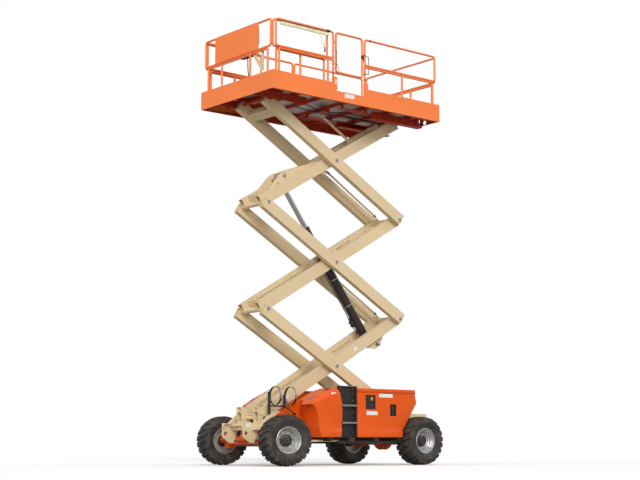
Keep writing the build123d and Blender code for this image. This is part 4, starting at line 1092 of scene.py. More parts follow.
@dataclass
class Bodywork:
    """Moulded hoods and front covers: hollow shells with a body line, a rolled brim and a flared foot."""

    outer_y: float = 1.000
    inner_y: float = 0.520
    skin: float = 0.016
    foot_z: float = 0.470
    hood: Outline = ((0.035, 0.470), (0.035, 1.300), (-1.300, 1.300), (-1.340, 1.075), (-1.115, 0.755),
                     (-1.000, 0.590), (-0.985, 0.470))
    cover: Outline = ((0.430, 0.470), (0.388, 0.640), (0.385, 0.900), (0.396, 1.120), (0.430, 1.306), (0.520, 1.289),
                      (0.590, 1.267), (0.660, 1.246), (0.725, 1.220), (0.790, 1.190), (0.853, 1.156),
                      (0.910, 1.126), (0.967, 1.094), (1.015, 1.069), (1.060, 1.045), (1.116, 1.015),
                      (1.106, 1.001), (1.050, 1.016), (0.985, 1.010), (0.955, 0.977), (0.932, 0.920),
                      (0.909, 0.852), (0.890, 0.756), (0.877, 0.632), (0.850, 0.470))
    cover_plan: Outline = ((0.380, 1.000), (0.780, 1.000), (0.850, 0.995), (0.900, 0.986), (0.948, 0.970),
                           (0.990, 0.950), (1.032, 0.923), (1.070, 0.889), (1.097, 0.848), (1.117, 0.800),
                           (1.117, 0.772), (1.020, 0.742), (0.940, 0.542), (0.380, 0.542))
    # (distance from the middle, how far the cover's top has fallen there)
    cover_fall: Outline = ((0.860, 0.0), (0.900, 0.010), (0.935, 0.026), (0.965, 0.050), (0.985, 0.074),
                           (1.010, 0.100))
    # (height, how far the side wall stands out) from the foot up
    hood_wall: Outline = ((0.470, 0.990), (0.482, 1.000), (0.500, 1.000), (0.575, 0.992), (0.600, 0.978),
                          (1.020, 0.985), (1.225, 0.970), (1.250, 0.990), (1.300, 0.992))
    cover_wall: Outline = ((0.470, 0.990), (0.482, 1.000), (0.500, 1.000), (0.585, 0.992), (0.612, 0.976),
                           (0.960, 0.984), (1.310, 0.975))
    controls_at: tuple[float, float] = (-0.255, 1.070)
    controls_size: tuple[float, float] = (0.230, 0.240)
    latch_at: tuple[float, float] = (-0.775, 0.940)
    latch_size: tuple[float, float] = (0.150, 0.200)
    hinge_x: tuple[float, float] = (-1.050, -0.150)
    hinge_y: float = 0.512
    hinge_z: float = 1.286

    def shape_wall(self, piece: Piece, wall: Outline, reach: float) -> None:
        """Cut a shell's side wall at the heights of its profile and draw each out to its place.

        Args:
            piece: the closed solid.
            wall: the profile.
            reach: how far forward the profile holds.
        """
        cut_across(piece, 2, [height for height, _ in wall[1:-1]])
        for point in piece.data.vertices:
            x, y, z = point.co
            if y >= 0.93:
                fade = 1.0 if x < reach else max(0.0, 1 - (x - reach) / 0.4)
                point.co.y = y + (read_off(wall, z) - self.outer_y) * fade

    def window(self, at: tuple[float, float], size: tuple[float, float], round_by: float = 0.014) -> Piece:
        """Model a solid with rounded corners that cuts a window in the side wall.

        Args:
            at: middle of the window, along x and z.
            size: its width and height.
            round_by: radius of its corners.

        Returns:
            The cutting solid.
        """
        (x, z), (wide, tall) = at, size
        left, right, low, high = x - wide / 2, x + wide / 2, z - tall / 2, z + tall / 2
        corners = []
        for cx, cz, start in ((right, high, 0), (left, high, 1), (left, low, 2), (right, low, 3)):
            inner_x = cx - round_by if cx == right else cx + round_by
            inner_z = cz - round_by if cz == high else cz + round_by
            for step in range(4):
                angle = pi / 2 * (start + step / 3)
                corners.append((inner_x + round_by * cos(angle), inner_z + round_by * sin(angle)))
        return plate(corners, 0.2, upright(self.outer_y - 0.1), 0)

    def hood_shell(self, windows: Sequence[tuple[tuple[float, float], tuple[float, float]]]) -> Piece:
        """Model the left hood's shell.

        Args:
            windows: place and size of each opening in its side.

        Returns:
            The shell.
        """
        shell = plate(self.hood, self.outer_y - self.inner_y, upright(self.inner_y), 0)
        self.shape_wall(shell, self.hood_wall, 9.0)
        soften(shell, 0.012, 3, 40)
        inside = plate(drawn_in(self.hood, self.skin), self.outer_y - 0.030 - 0.4, upright(0.4), 0)
        carve(shell, inside)
        carve(shell, block((-0.475, 0.690, self.foot_z), (0.96, 0.54, 0.06), 0))
        for at, size in windows:
            carve(shell, self.window(at, size))
        return smooth(shell, 32)

    def crest(self, x: float) -> float:
        """Height of a cover's top edge at a place along it."""
        edge = [corner for corner in self.cover if corner[1] > 1.012 and corner[0] not in (1.050, 1.106)]
        return read_off(sorted(edge), x)

    def round_top(self, piece: Piece, depth: float = 0.0) -> None:
        """Let a cover's top fall in a round toward its outer side.

        Args:
            piece: the closed solid, flat across.
            depth: how far its top lies below the cover's.
        """
        cut_across(piece, 1, [out for out, _ in self.cover_fall[:-1]])
        for point in piece.data.vertices:
            x, y, z = point.co
            if y > self.cover_fall[0][0] and z >= self.crest(x) - depth - 0.008 and x >= 0.40:
                point.co.z = z - read_off(self.cover_fall, y)

    def cover_shell(self) -> Piece:
        """Model the left front cover's shell, whose nose draws in over the tyre."""
        shell = plate(eased(self.cover), 0.48, upright(0.53), 0)
        self.round_top(shell)
        plan = Matrix.Translation((0, 0, 0.4))
        carve(shell, plate(self.cover_plan, 1.0, plan, 0), "INTERSECT")
        self.shape_wall(shell, self.cover_wall, 0.85)
        soften(shell, 0.012, 3, 40)
        inside = plate(drawn_in(eased(self.cover), self.skin), 0.6, upright(0.45), 0)
        self.round_top(inside, self.skin)
        carve(inside, plate(drawn_in(self.cover_plan, self.skin + 0.012), 1.2, plan, 0), "INTERSECT")
        carve(shell, inside)
        carve(shell, block((0.640, 0.770, self.foot_z), (0.36, 0.40, 0.06), 0))
        return smooth(shell, 32)

    def hinges(self) -> Piece:
        """Model the hood's two hinge leaves, knuckles and rivets."""
        parts = []
        for x in self.hinge_x:
            y, z = self.hinge_y, self.hinge_z
            parts += [drum((x - 0.030, y, z), (x + 0.030, y, z), 0.0100, 0.001, 20),
                      block((x, y + 0.024, z - 0.0035), (0.058, 0.044, 0.004), 0.001)]
            for along in (-0.018, 0.018):
                parts.append(turned([(0.006, 0), (0.006, 0.001), (0.003, 0.003)],
                                    aim((x + along, y + 0.032, z - 0.0055), (x + along, y + 0.032, 0)), 12))
        return join(parts, "hinges")

    def surround(self, at: tuple[float, float], size: tuple[float, float], y: float, depth: float,
                 thick: float) -> list[Piece]:
        """Model the four strips that line a window in the hood's side.

        Args:
            at: middle of the window, along x and z.
            size: its width and height.
            y: middle of the strips across the machine.
            depth: how deep they are.
            thick: how thick they are.

        Returns:
            The strips.
        """
        (x, z), (wide, tall) = at, size
        across, up = wide / 2 + thick / 2, tall / 2 + thick / 2
        strips = [block((x, y, z + rise), (wide + 0.02, depth, thick), 0.001) for rise in (up, -up)]
        return strips + [block((x + run, y, z), (thick, depth, tall), 0.001) for run in (across, -across)]

    def latch(self) -> Piece:
        """Model the latch cup with its pull and keyhole."""
        x, z = self.latch_at
        wide, tall = self.latch_size
        back = self.outer_y - 0.050
        parts = [block((x, back - 0.004, z), (wide + 0.02, 0.008, tall + 0.02), 0.002),
                 *self.surround(self.latch_at, self.latch_size, back + 0.012, 0.030, 0.006),
                 block((x - 0.005, back + 0.016, z + 0.01), (0.045, 0.014, 0.120), 0.005),
                 drum((x - 0.005, back, z - 0.072), (x - 0.005, back + 0.020, z - 0.072), 0.014, 0.002)]
        return smooth(join(parts, "latch"), 30)

    def controls(self) -> None:
        """Model and dress the ground control panel in its recess."""
        x, z = self.controls_at
        wide, tall = self.controls_size
        face = self.outer_y - 0.046
        case = [block((x, face - 0.030, z), (wide + 0.02, 0.060, tall + 0.02), 0.003),
                *self.surround(self.controls_at, self.controls_size, face + 0.005, 0.014, 0.008)]
        knobs = []
        for row, height in enumerate((0.055, 0.0, -0.055)):
            for column, along in enumerate((-0.015, 0.030, 0.075)):
                if row == 0 and column == 0:
                    continue
                at, up = x + along, z + height
                knobs += [turned([(0.014, 0), (0.014, 0.004), (0.008, 0.006), (0.006, 0.010)],
                                 sideways((at, face, up), 1), 16),
                          drum((at, face + 0.008, up), (at, face + 0.026, up + 0.008), 0.0035, 0.001, 10)]
        knobs.append(block((x + 0.050, face + 0.004, z - 0.092), (0.060, 0.012, 0.026), 0.002))
        stop = sideways((x - 0.055, face, z + 0.055), 1)
        collar = turned([(0.030, 0), (0.030, 0.004), (0.026, 0.008), (0.020, 0.008)], stop, 28)
        button = turned([(0.011, 0.004), (0.011, 0.022), (0.019, 0.024), (0.020, 0.030), (0.016, 0.036),
                         (0.006, 0.038)], stop, 28)
        lamps = [turned([(0.006, 0), (0.006, 0.004), (0.003, 0.007)],
                        sideways((x - 0.080 + 0.028 * index, face, z - 0.050), 1), 14)
                 for index in range(3)]
        fit(case, "control_panel", "left_hood", Finish.PLASTIC_BLACK, stands_for=["ground_controls"])
        fit(knobs, "control_switches", "left_hood", Finish.DARK, 30)
        fit([collar], "stop_ring", "left_hood", Finish.PLASTIC_YELLOW, 30)
        fit([button], "stop_button", "left_hood", Finish.PLASTIC_RED, 40)
        fit(lamps, "control_lamps", "left_hood", Finish.PLASTIC_GREEN, 40)

    def blank_plates(self, side: int) -> Piece:
        """Model the blank white plates on the hood and the cover.

        Args:
            side: 1 on the left, -1 on the right.

        Returns:
            The plates as one piece.
        """
        parts = []
        for x, z, wide, tall, y in ((-0.615, 1.185, 0.320, 0.062, 0.9745), (0.562, 1.176, 0.105, 0.080, 0.972),
                                    (-0.283, 0.883, 0.250, 0.068, 0.9835)):
            parts.append(block((x, y, z), (wide, 0.003, tall), 0.0008))
        piece = join(parts, "plates")
        return piece if side > 0 else settle(piece, Matrix.Scale(-1, 4, (0, 1, 0)))

    def cover_latch(self) -> Piece:
        """Model the rubber draw latch on top of the cover."""
        where = basis((0.603, 0.840, 1.262), (0.95, 0, -0.30), (0.30, 0, 0.95))
        parts = [block((0, 0, 0.004), (0.090, 0.046, 0.008), 0.003, where),
                 drum(where @ Vector((-0.026, -0.020, 0.012)), where @ Vector((-0.026, 0.020, 0.012)), 0.009, 0.002),
                 block((0.016, 0, 0.012), (0.050, 0.026, 0.010), 0.004, where)]
        return smooth(join(parts, "draw_latch"), 30)

    def silver_latch(self) -> Piece:
        """Model the over-centre latch on the cover's slope."""
        where = basis((0.915, 0.830, 1.1235), (0.88, 0, -0.49), (0.49, 0, 0.88))
        parts = [block((0, 0, 0.003), (0.110, 0.034, 0.004), 0.001, where),
                 block((0.010, 0, 0.010), (0.070, 0.022, 0.008), 0.003, where),
                 drum(where @ Vector((-0.035, -0.016, 0.010)), where @ Vector((-0.035, 0.016, 0.010)), 0.007,
                      sides=16)]
        return smooth(join(parts, "over_centre_latch"), 30)

    def build(self) -> None:
        """Model the left side's pieces, mirror them for the right, and dress them."""
        mirror = Matrix.Scale(-1, 4, (0, 1, 0))
        windows = {1: [(self.controls_at, self.controls_size), (self.latch_at, self.latch_size)],
                   -1: [(self.latch_at, self.latch_size)]}
        cover = self.cover_shell()
        latch, draw, silver = self.latch(), self.cover_latch(), self.silver_latch()
        hinge = self.hinges()
        for side, label in ((1, "left"), (-1, "right")):
            flip = Matrix.Identity(4) if side > 0 else mirror
            hood = settle(self.hood_shell(windows[side]), flip)
            hood.name = f"{label}_hood_shell"
            finish_piece(hood, f"{label}_hood", Finish.HOOD, [f"{label}_hood"])
            for model, name, body, finish, slot, stands_for in (
                    (cover, "cover_shell", "chassis", Finish.HOOD, "orange_paint", [f"{label}_front_cover"]),
                    (latch, "hood_latch", f"{label}_hood", Finish.PLASTIC_BLACK, "", []),
                    (hinge, "hood_hinges", f"{label}_hood", Finish.STEEL, "", []),
                    (draw, "cover_latch", "chassis", Finish.PLASTIC_BLACK, "", []),
                    (silver, "cover_catch", "chassis", Finish.STEEL, "", [])):
                piece = copy(model, flip)
                piece.name = f"{label}_{name}"
                finish_piece(piece, body, finish, stands_for, slot)
            plates = self.blank_plates(side)
            plates.name = f"{label}_blank_plates"
            finish_piece(plates, f"{label}_hood", Finish.WHITE)
        for model in (cover, latch, draw, silver, hinge):
            bpy.data.objects.remove(model)
        self.controls()


# --- free cords
@dataclass
class Cords:
    """The loose gas hose and the control station's cord."""

    gas_route: tuple[Point, ...] = ((1.300, 0.470, 0.981), (1.300, 0.560, 0.981), (1.260, 0.640, 0.930),
                                    (1.160, 0.640, 0.870), (1.060, 0.600, 0.850), (1.060, 0.5153, 0.850))
    gas_radius: float = 0.011
    control_route: tuple[Point, ...] = ((1.800, 0.150, 6.9697), (1.800, 0.150, 6.830), (1.825, 0.190, 6.700),
                                        (1.840, 0.240, 6.580), (1.840, 0.240, 6.4149))
    control_radius: float = 0.008

    def build(self) -> None:
        """Draw both cords, each with the sleeves at its ends, and log them."""
        for node, route, radius, length, body in (
                ("gas_hose", self.gas_route, self.gas_radius, 0.473, "chassis"),
                ("control_cord", self.control_route, self.control_radius, 0.560, "extension")):
            cord = line(f"{node}_line", route, radius)
            cord.data.materials.append(Finish.HOSE.material)
            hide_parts(node)
            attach(cord, body)
            sleeves = []
            for end, inner in ((route[0], route[1]), (route[-1], route[-2])):
                sleeves.append(turned([(radius * 1.55, 0), (radius * 1.55, 0.016), (radius * 1.25, 0.020),
                                       (radius * 1.15, 0.038), (radius * 1.02, 0.042)], aim(end, inner), 20))
            fit(sleeves, f"{node}_sleeves", body, Finish.DARK, 40)
            LOG.info("%s on %s, free cord", cord.name, body)


# --- scissor stack
@dataclass(frozen=True)
class Scissor:
    """Where the arms and pins of the scissor stack stand at rest."""

    span: float = 3.530
    rest: float = radians(31.0)
    front_x: float = 1.530
    base_z: float = 0.795
    half_w: float = 0.050
    inner_y: float = 0.233
    outer_y: float = 0.3625
    half_depth: float = 0.100
    front_offset: float = 0.046
    rear_offset: float = 0.022
    sections: int = 3

    def centre(self, along: float) -> float:
        """Height of an inner arm's middle over its pin line."""
        return self.front_offset - (self.front_offset + self.rear_offset) * along / self.span

    def inner(self, section: int) -> Matrix:
        """Placing on an inner pair: +x rearward up its pin line, +z square to it, from the front pin."""
        a = self.rest
        z = self.base_z + section * self.span * sin(a)
        return basis((self.front_x, 0, z), (-cos(a), 0, sin(a)), (sin(a), 0, cos(a)))

    def outer(self, section: int) -> Matrix:
        """Placing on an outer pair: +x rearward down its pin line, +z square to it, from the front pin."""
        a = self.rest
        z = self.base_z + (section + 1) * self.span * sin(a)
        return basis((self.front_x, 0, z), (-cos(a), 0, -sin(a)), (-sin(a), 0, cos(a)))


STACK = Scissor()


@dataclass
class ArmHardware:
    """What is welded, pinned and clamped to the arms."""

    boss_r: float = 0.054
    head_r: float = 0.034
    strut_y: float = -0.150
    strut_h: float = 0.049
    strut_r: float = 0.0185
    strut_ends: tuple[float, float] = (2.02, 3.40)

    def heads(self, section: int) -> None:
        """Model the pin ends of an outer pair: welded rings, heads and keeper bolts.

        Args:
            section: 0 for the lowest pair.
        """
        where = STACK.outer(section)
        along = [STACK.span / 2]
        along += [0.0] if section < STACK.sections - 1 else []
        along += [STACK.span] if section > 0 else []
        rings, heads = [], []
        for s in along:
            for side in (1, -1):
                face = STACK.outer_y + STACK.half_w
                base = where @ Vector((s, 0, 0))
                out = sideways((base.x, side * face, base.z), side)
                rings.append(turned([(self.boss_r, 0.0002), (self.boss_r, 0.003), (self.boss_r - 0.004, 0.005),
                                     (self.head_r - 0.006, 0.005)], out, 32))
                heads.append(turned([(self.head_r, 0.0048), (self.head_r, 0.008), (self.head_r - 0.004, 0.0102),
                                     (0.016, 0.0102)], out, 28))
                heads.append(turned([(0.0125, 0), (0.0125, 0.0014), (0.0105, 0.0017)],
                                    aim(out @ Vector((0, 0, 0.0100)), out @ Vector((0, 0, 0.0118))), 6))
        body = f"outer_{section + 1}"
        fit(rings, f"outer_rings_{section + 1}", body, Finish.CREAM, 30)
        fit(heads, f"pin_heads_{section + 1}", body, Finish.STEEL, 30)

    def ears(self, section: int) -> None:
        """Model the doublers with turned-up lips at the front ends of an outer pair.

        Args:
            section: 0 for the lowest pair.
        """
        where = STACK.outer(section)
        parts = []
        for side in (1, -1):
            y = STACK.outer_y
            parts += [block((-0.002, -side * (y + STACK.half_w + 0.0020), 0.026), (0.092, 0.0036, 0.052), 0.001,
                            where),
                      block((-0.036, -side * (y + 0.020), 0.072), (0.010, 0.052, 0.034), 0.002, where),
                      block((0.004, -side * (y + 0.046), 0.072), (0.080, 0.008, 0.034), 0.002, where)]
        fit(parts, f"outer_ears_{section + 1}", f"outer_{section + 1}", Finish.CREAM)

    def strut(self, section: int) -> None:
        """Model the round strut beside the right outer arm: painted tube with lugs, black caps, bright ends.

        Args:
            section: which pair, 1 or 2.
        """
        where = STACK.outer(section)
        y, h = -self.strut_y, self.strut_h
        top, foot = self.strut_ends
        tube = drum(where @ Vector((top + 0.06, y, h)), where @ Vector((foot - 0.05, y, h)), self.strut_r, 0.002, 20)
        across = where @ Matrix.Translation((STACK.span, y, 0)) @ Matrix.Rotation(pi / 2, 4, "X")
        eye = carve(turned([(0.062, -0.009), (0.062, 0.009)], across, 28),
                    turned([(0.0475, -0.02), (0.0475, 0.02)], across, 32))
        lug = plate(((foot - 0.04, 0.036), (foot - 0.04, 0.062), (3.48, 0.050), (3.50, 0.040), (3.475, 0.018)), 0.012,
                    where @ upright(y - 0.006))
        bar = plate(((1.735, -0.022), (1.735, 0.022), (1.78, 0.034), (top + 0.03, h + 0.020), (top + 0.03, h - 0.020),
                     (1.80, -0.022)), 0.010, where @ upright(y + 0.0195))
        caps = [drum(where @ Vector((start, y, h)), where @ Vector((end, y, h)), self.strut_r + 0.0015)
                for start, end in ((top + 0.030, top + 0.062), (foot - 0.055, foot - 0.025))]
        bright = [turned([(0.021, 0), (0.024, 0.004), (0.024, 0.030), (0.019, 0.036)],
                         aim(where @ Vector((top + 0.032, y, h)), where @ Vector((top - 0.01, y, h))), 24),
                  turned([(0.021, 0), (0.023, 0.004), (0.023, 0.022), (0.018, 0.026)],
                         aim(where @ Vector((foot - 0.027, y, h)), where @ Vector((foot + 0.05, y, h))), 24)]
        number = section + 1
        fit([tube, eye, lug, bar], f"strut_{number}", f"outer_{number}", Finish.CREAM, 30)
        fit(caps, f"strut_caps_{number}", f"outer_{number}", Finish.PLASTIC_BLACK, 30)
        fit(bright, f"strut_ends_{number}", f"outer_{number}", Finish.STEEL, 30)

    def channel(self, section: int) -> None:
        """Model the line channel inside the right inner arm, and its clamp bolts.

        Args:
            section: 0 for the lowest pair.
        """
        where = STACK.inner(section)
        face = STACK.inner_y - STACK.half_w
        runs, bolts = [], []
        for start, end in ((0.30, 1.60), (1.95, 2.75)):
            if section == 2 and start < 1.6:
                continue
            middle = (start + end) / 2
            height = STACK.centre(middle) + 0.052
            tilt = where @ Matrix.Translation((middle, face - 0.0105, height)) @ Matrix.Rotation(
                (STACK.front_offset + STACK.rear_offset) / STACK.span, 4, "Y")
            runs.append(block((0, 0, 0), (end - start, 0.020, 0.034), 0.003, tilt))
            for share in (-0.42, -0.14, 0.14, 0.42):
                x = share * (end - start)
                runs.append(block((x, -0.001, 0), (0.026, 0.024, 0.050), 0.002, tilt))
                bolts.append(hexagon(tilt @ Vector((x, -0.013, 0.0)), tilt @ Vector((x, -0.020, 0.0)), 0.011))
        number = section + 1
        fit(runs, f"line_channel_{number}", f"inner_{number}", Finish.CREAM)
        fit(bolts, f"channel_bolts_{number}", f"inner_{number}", Finish.STEEL, 30)

    def foot_pin(self) -> None:
        """Model the heads of the lift cylinder's foot pin on its bracket plates."""
        where = STACK.inner(0)
        parts = []
        base = where @ Vector((2.950, 0, -0.200))
        for side in (1, -1):
            out = sideways((base.x, side * 0.2032, base.z), side)
            parts += [turned([(0.040, 0), (0.040, 0.008), (0.036, 0.012), (0.014, 0.012)], out, 28),
                      block((0.030, 0.0, 0.007), (0.090, 0.032, 0.010), 0.002, out),
                      hexagon(out @ Vector((0.060, 0, 0.012)), out @ Vector((0.060, 0, 0.024)), 0.018)]
        fit(parts, "foot_pin_heads", "inner_1", Finish.STEEL, 30)

    def head_pin(self) -> None:
        """Model the heads of the lift cylinder's upper pin on its bracket plates."""
        where = STACK.inner(2)
        parts = []
        base = where @ Vector((0.720, 0, 0.200))
        for side in (1, -1):
            out = sideways((base.x, side * 0.1832, base.z), side)
            parts.append(turned([(0.036, 0), (0.036, 0.008), (0.032, 0.012), (0.012, 0.012)], out, 28))
            parts.append(turned([(0.013, 0), (0.013, 0.010), (0.010, 0.012)],
                                aim(out @ Vector((0, 0, 0.010)), out @ Vector((0, 0, 1))), 6))
        for s, h in ((0.80, 0.125), (0.52, 0.150)):
            at = where @ Vector((s, 0, h))
            for side in (1, -1):
                parts.append(hexagon((at.x, side * 0.1832, at.z), (at.x, side * 0.194, at.z), 0.020))
        fit(parts, "head_pin_heads", "inner_3", Finish.STEEL, 30)

    def tabs(self) -> None:
        """Model the lifting tabs on top of the middle inner arms, each with its eye."""
        where = STACK.inner(1)
        parts = []
        for side in (1, -1):
            y = -side * STACK.inner_y - 0.006
            top = STACK.centre(1.95) + STACK.half_depth
            tab = plate(((1.90, top), (2.02, top - 0.002), (1.995, top + 0.055), (1.965, top + 0.066),
                         (1.935, top + 0.055)), 0.012,
                        where @ upright(y))
            carve(tab, turned([(0.011, -0.03), (0.011, 0.03)],
                              where @ Matrix.Translation((1.965, y + 0.006, top + 0.040))
                              @ Matrix.Rotation(pi / 2, 4, "X"), 20))
            parts.append(tab)
        fit(parts, "arm_tabs", "inner_2", Finish.CREAM)

    def plates(self) -> None:
        """Model the blank plates riveted to the lowest inner arm."""
        where = STACK.inner(0)
        y = -(STACK.inner_y + STACK.half_w + 0.001)
        fit([block((s, y, STACK.centre(s)), (0.100, 0.002, 0.060), 0.0006, where) for s in (0.62, 2.40)],
            "arm_plates", "inner_1", Finish.WHITE)

    def build(self) -> None:
        """Model and dress all of it."""
        for section in range(STACK.sections):
            self.heads(section)
            if section < STACK.sections - 1:
                self.ears(section)
            self.channel(section)
            if section > 0:
                self.strut(section)
        self.foot_pin()
        self.head_pin()
        self.tabs()
        self.plates()


@dataclass
class LiftCylinder:
    """Collars, bands, valve block and hoses of the two-stage lift cylinder."""

    barrel_r: float = 0.082
    stage_r: float = 0.062
    rod_r: float = 0.045
    bands: tuple[float, ...] = (0.86, 1.42)

    def axis(self) -> Matrix:
        """Placing with +z up the cylinder's line from its foot."""
        foot = STACK.inner(0) @ Vector((2.950, 0, -0.200))
        head = STACK.inner(2) @ Vector((0.720, 0, 0.200))
        return basis(foot, (0, 1, 0), head - foot)

    def build(self) -> None:
        """Model and dress its pieces, with the lines and the valve on the side that faces the floor."""
        where = self.axis()
        r = self.barrel_r
        collar = ring([(r, 1.800), (r + 0.008, 1.804), (r + 0.008, 1.880), (r + 0.003, 1.8865),
                       (self.stage_r + 0.004, 1.8868), (r - 0.004, 1.840)], where, 40)
        weld = ring([(r, 0.205), (r + 0.006, 0.212), (r + 0.006, 0.224), (r, 0.232)], where, 40)
        ports = [block((0, -0.102, 1.79), (0.046, 0.036, 0.060), 0.004, where),
                 block((0, -0.098, 0.33), (0.050, 0.034, 0.070), 0.004, where)]
        fit([collar, weld] + ports, "barrel_collar", "barrel", Finish.CYLINDER)
        bands = []
        for height in self.bands:
            bands.append(ring([(r + 0.0003, height - 0.012), (r + 0.003, height - 0.011), (r + 0.003, height + 0.011),
                               (r + 0.0003, height + 0.012)], where, 40))
            bands.append(block((0, -0.087, height), (0.016, 0.008, 0.024), 0.002, where))
        fit(bands, "barrel_bands", "barrel", Finish.STEEL)
        valve = [block((-0.015, -0.100, 0.520), (0.080, 0.042, 0.130), 0.005, where),
                 block((-0.015, -0.108, 0.610), (0.040, 0.024, 0.060), 0.004, where)]
        for x, z in ((-0.040, 0.555), (0.010, 0.490), (-0.040, 0.490)):
            valve.append(turned([(0.014, 0), (0.014, 0.014), (0.010, 0.016), (0.010, 0.024)],
                                aim(where @ Vector((x, -0.118, z)), where @ Vector((x, -0.9, z))), 18))
        fit(valve, "lift_valve", "barrel", Finish.DARK, 30)
        routes = [((x, -0.118, 1.77), (x, -0.136, 1.72), (x * 2, -0.100, 1.58), (x * 2, -0.0935, 1.30),
                   (x * 2, -0.0935, 0.85), (x * 2, -0.098, 0.70), (x - 0.015, -0.108, 0.63)) for x in (0.016, -0.016)]
        routes.append(((0.018, -0.110, 0.36), (0.018, -0.140, 0.40), (0.0, -0.138, 0.45), (-0.015, -0.116, 0.47)))
        fit([pipe([tuple(where @ Vector(place)) for place in route], 0.009) for route in routes],
            "lift_hoses", "barrel", Finish.HOSE)
        gland = ring([(self.stage_r, 2.4620), (self.stage_r + 0.005, 2.464), (self.stage_r + 0.005, 2.482),
                      (self.stage_r, 2.4866), (self.rod_r + 0.004, 2.4868), (self.stage_r - 0.004, 2.475)], where, 36)
        fit([gland], "stage_gland", "stage", Finish.CYLINDER)
        wiper = ring([(self.rod_r + 0.0006, 2.4865), (self.rod_r + 0.006, 2.488), (self.rod_r + 0.004, 2.497),
                      (self.rod_r + 0.0006, 2.498)], where, 32)
        fit([wiper], "rod_wiper", "stage", Finish.PLASTIC_BLACK)


# --- guard rails
@dataclass(frozen=True)
class Guard:
    """One length of guard rail: where it runs and what stands under it."""

    nodes: tuple[str, ...]
    body: str
    start: tuple[float, float]
    end: tuple[float, float]
    foot: float
    posts: tuple[float, ...]
    long_start: bool = False
    long_end: bool = False


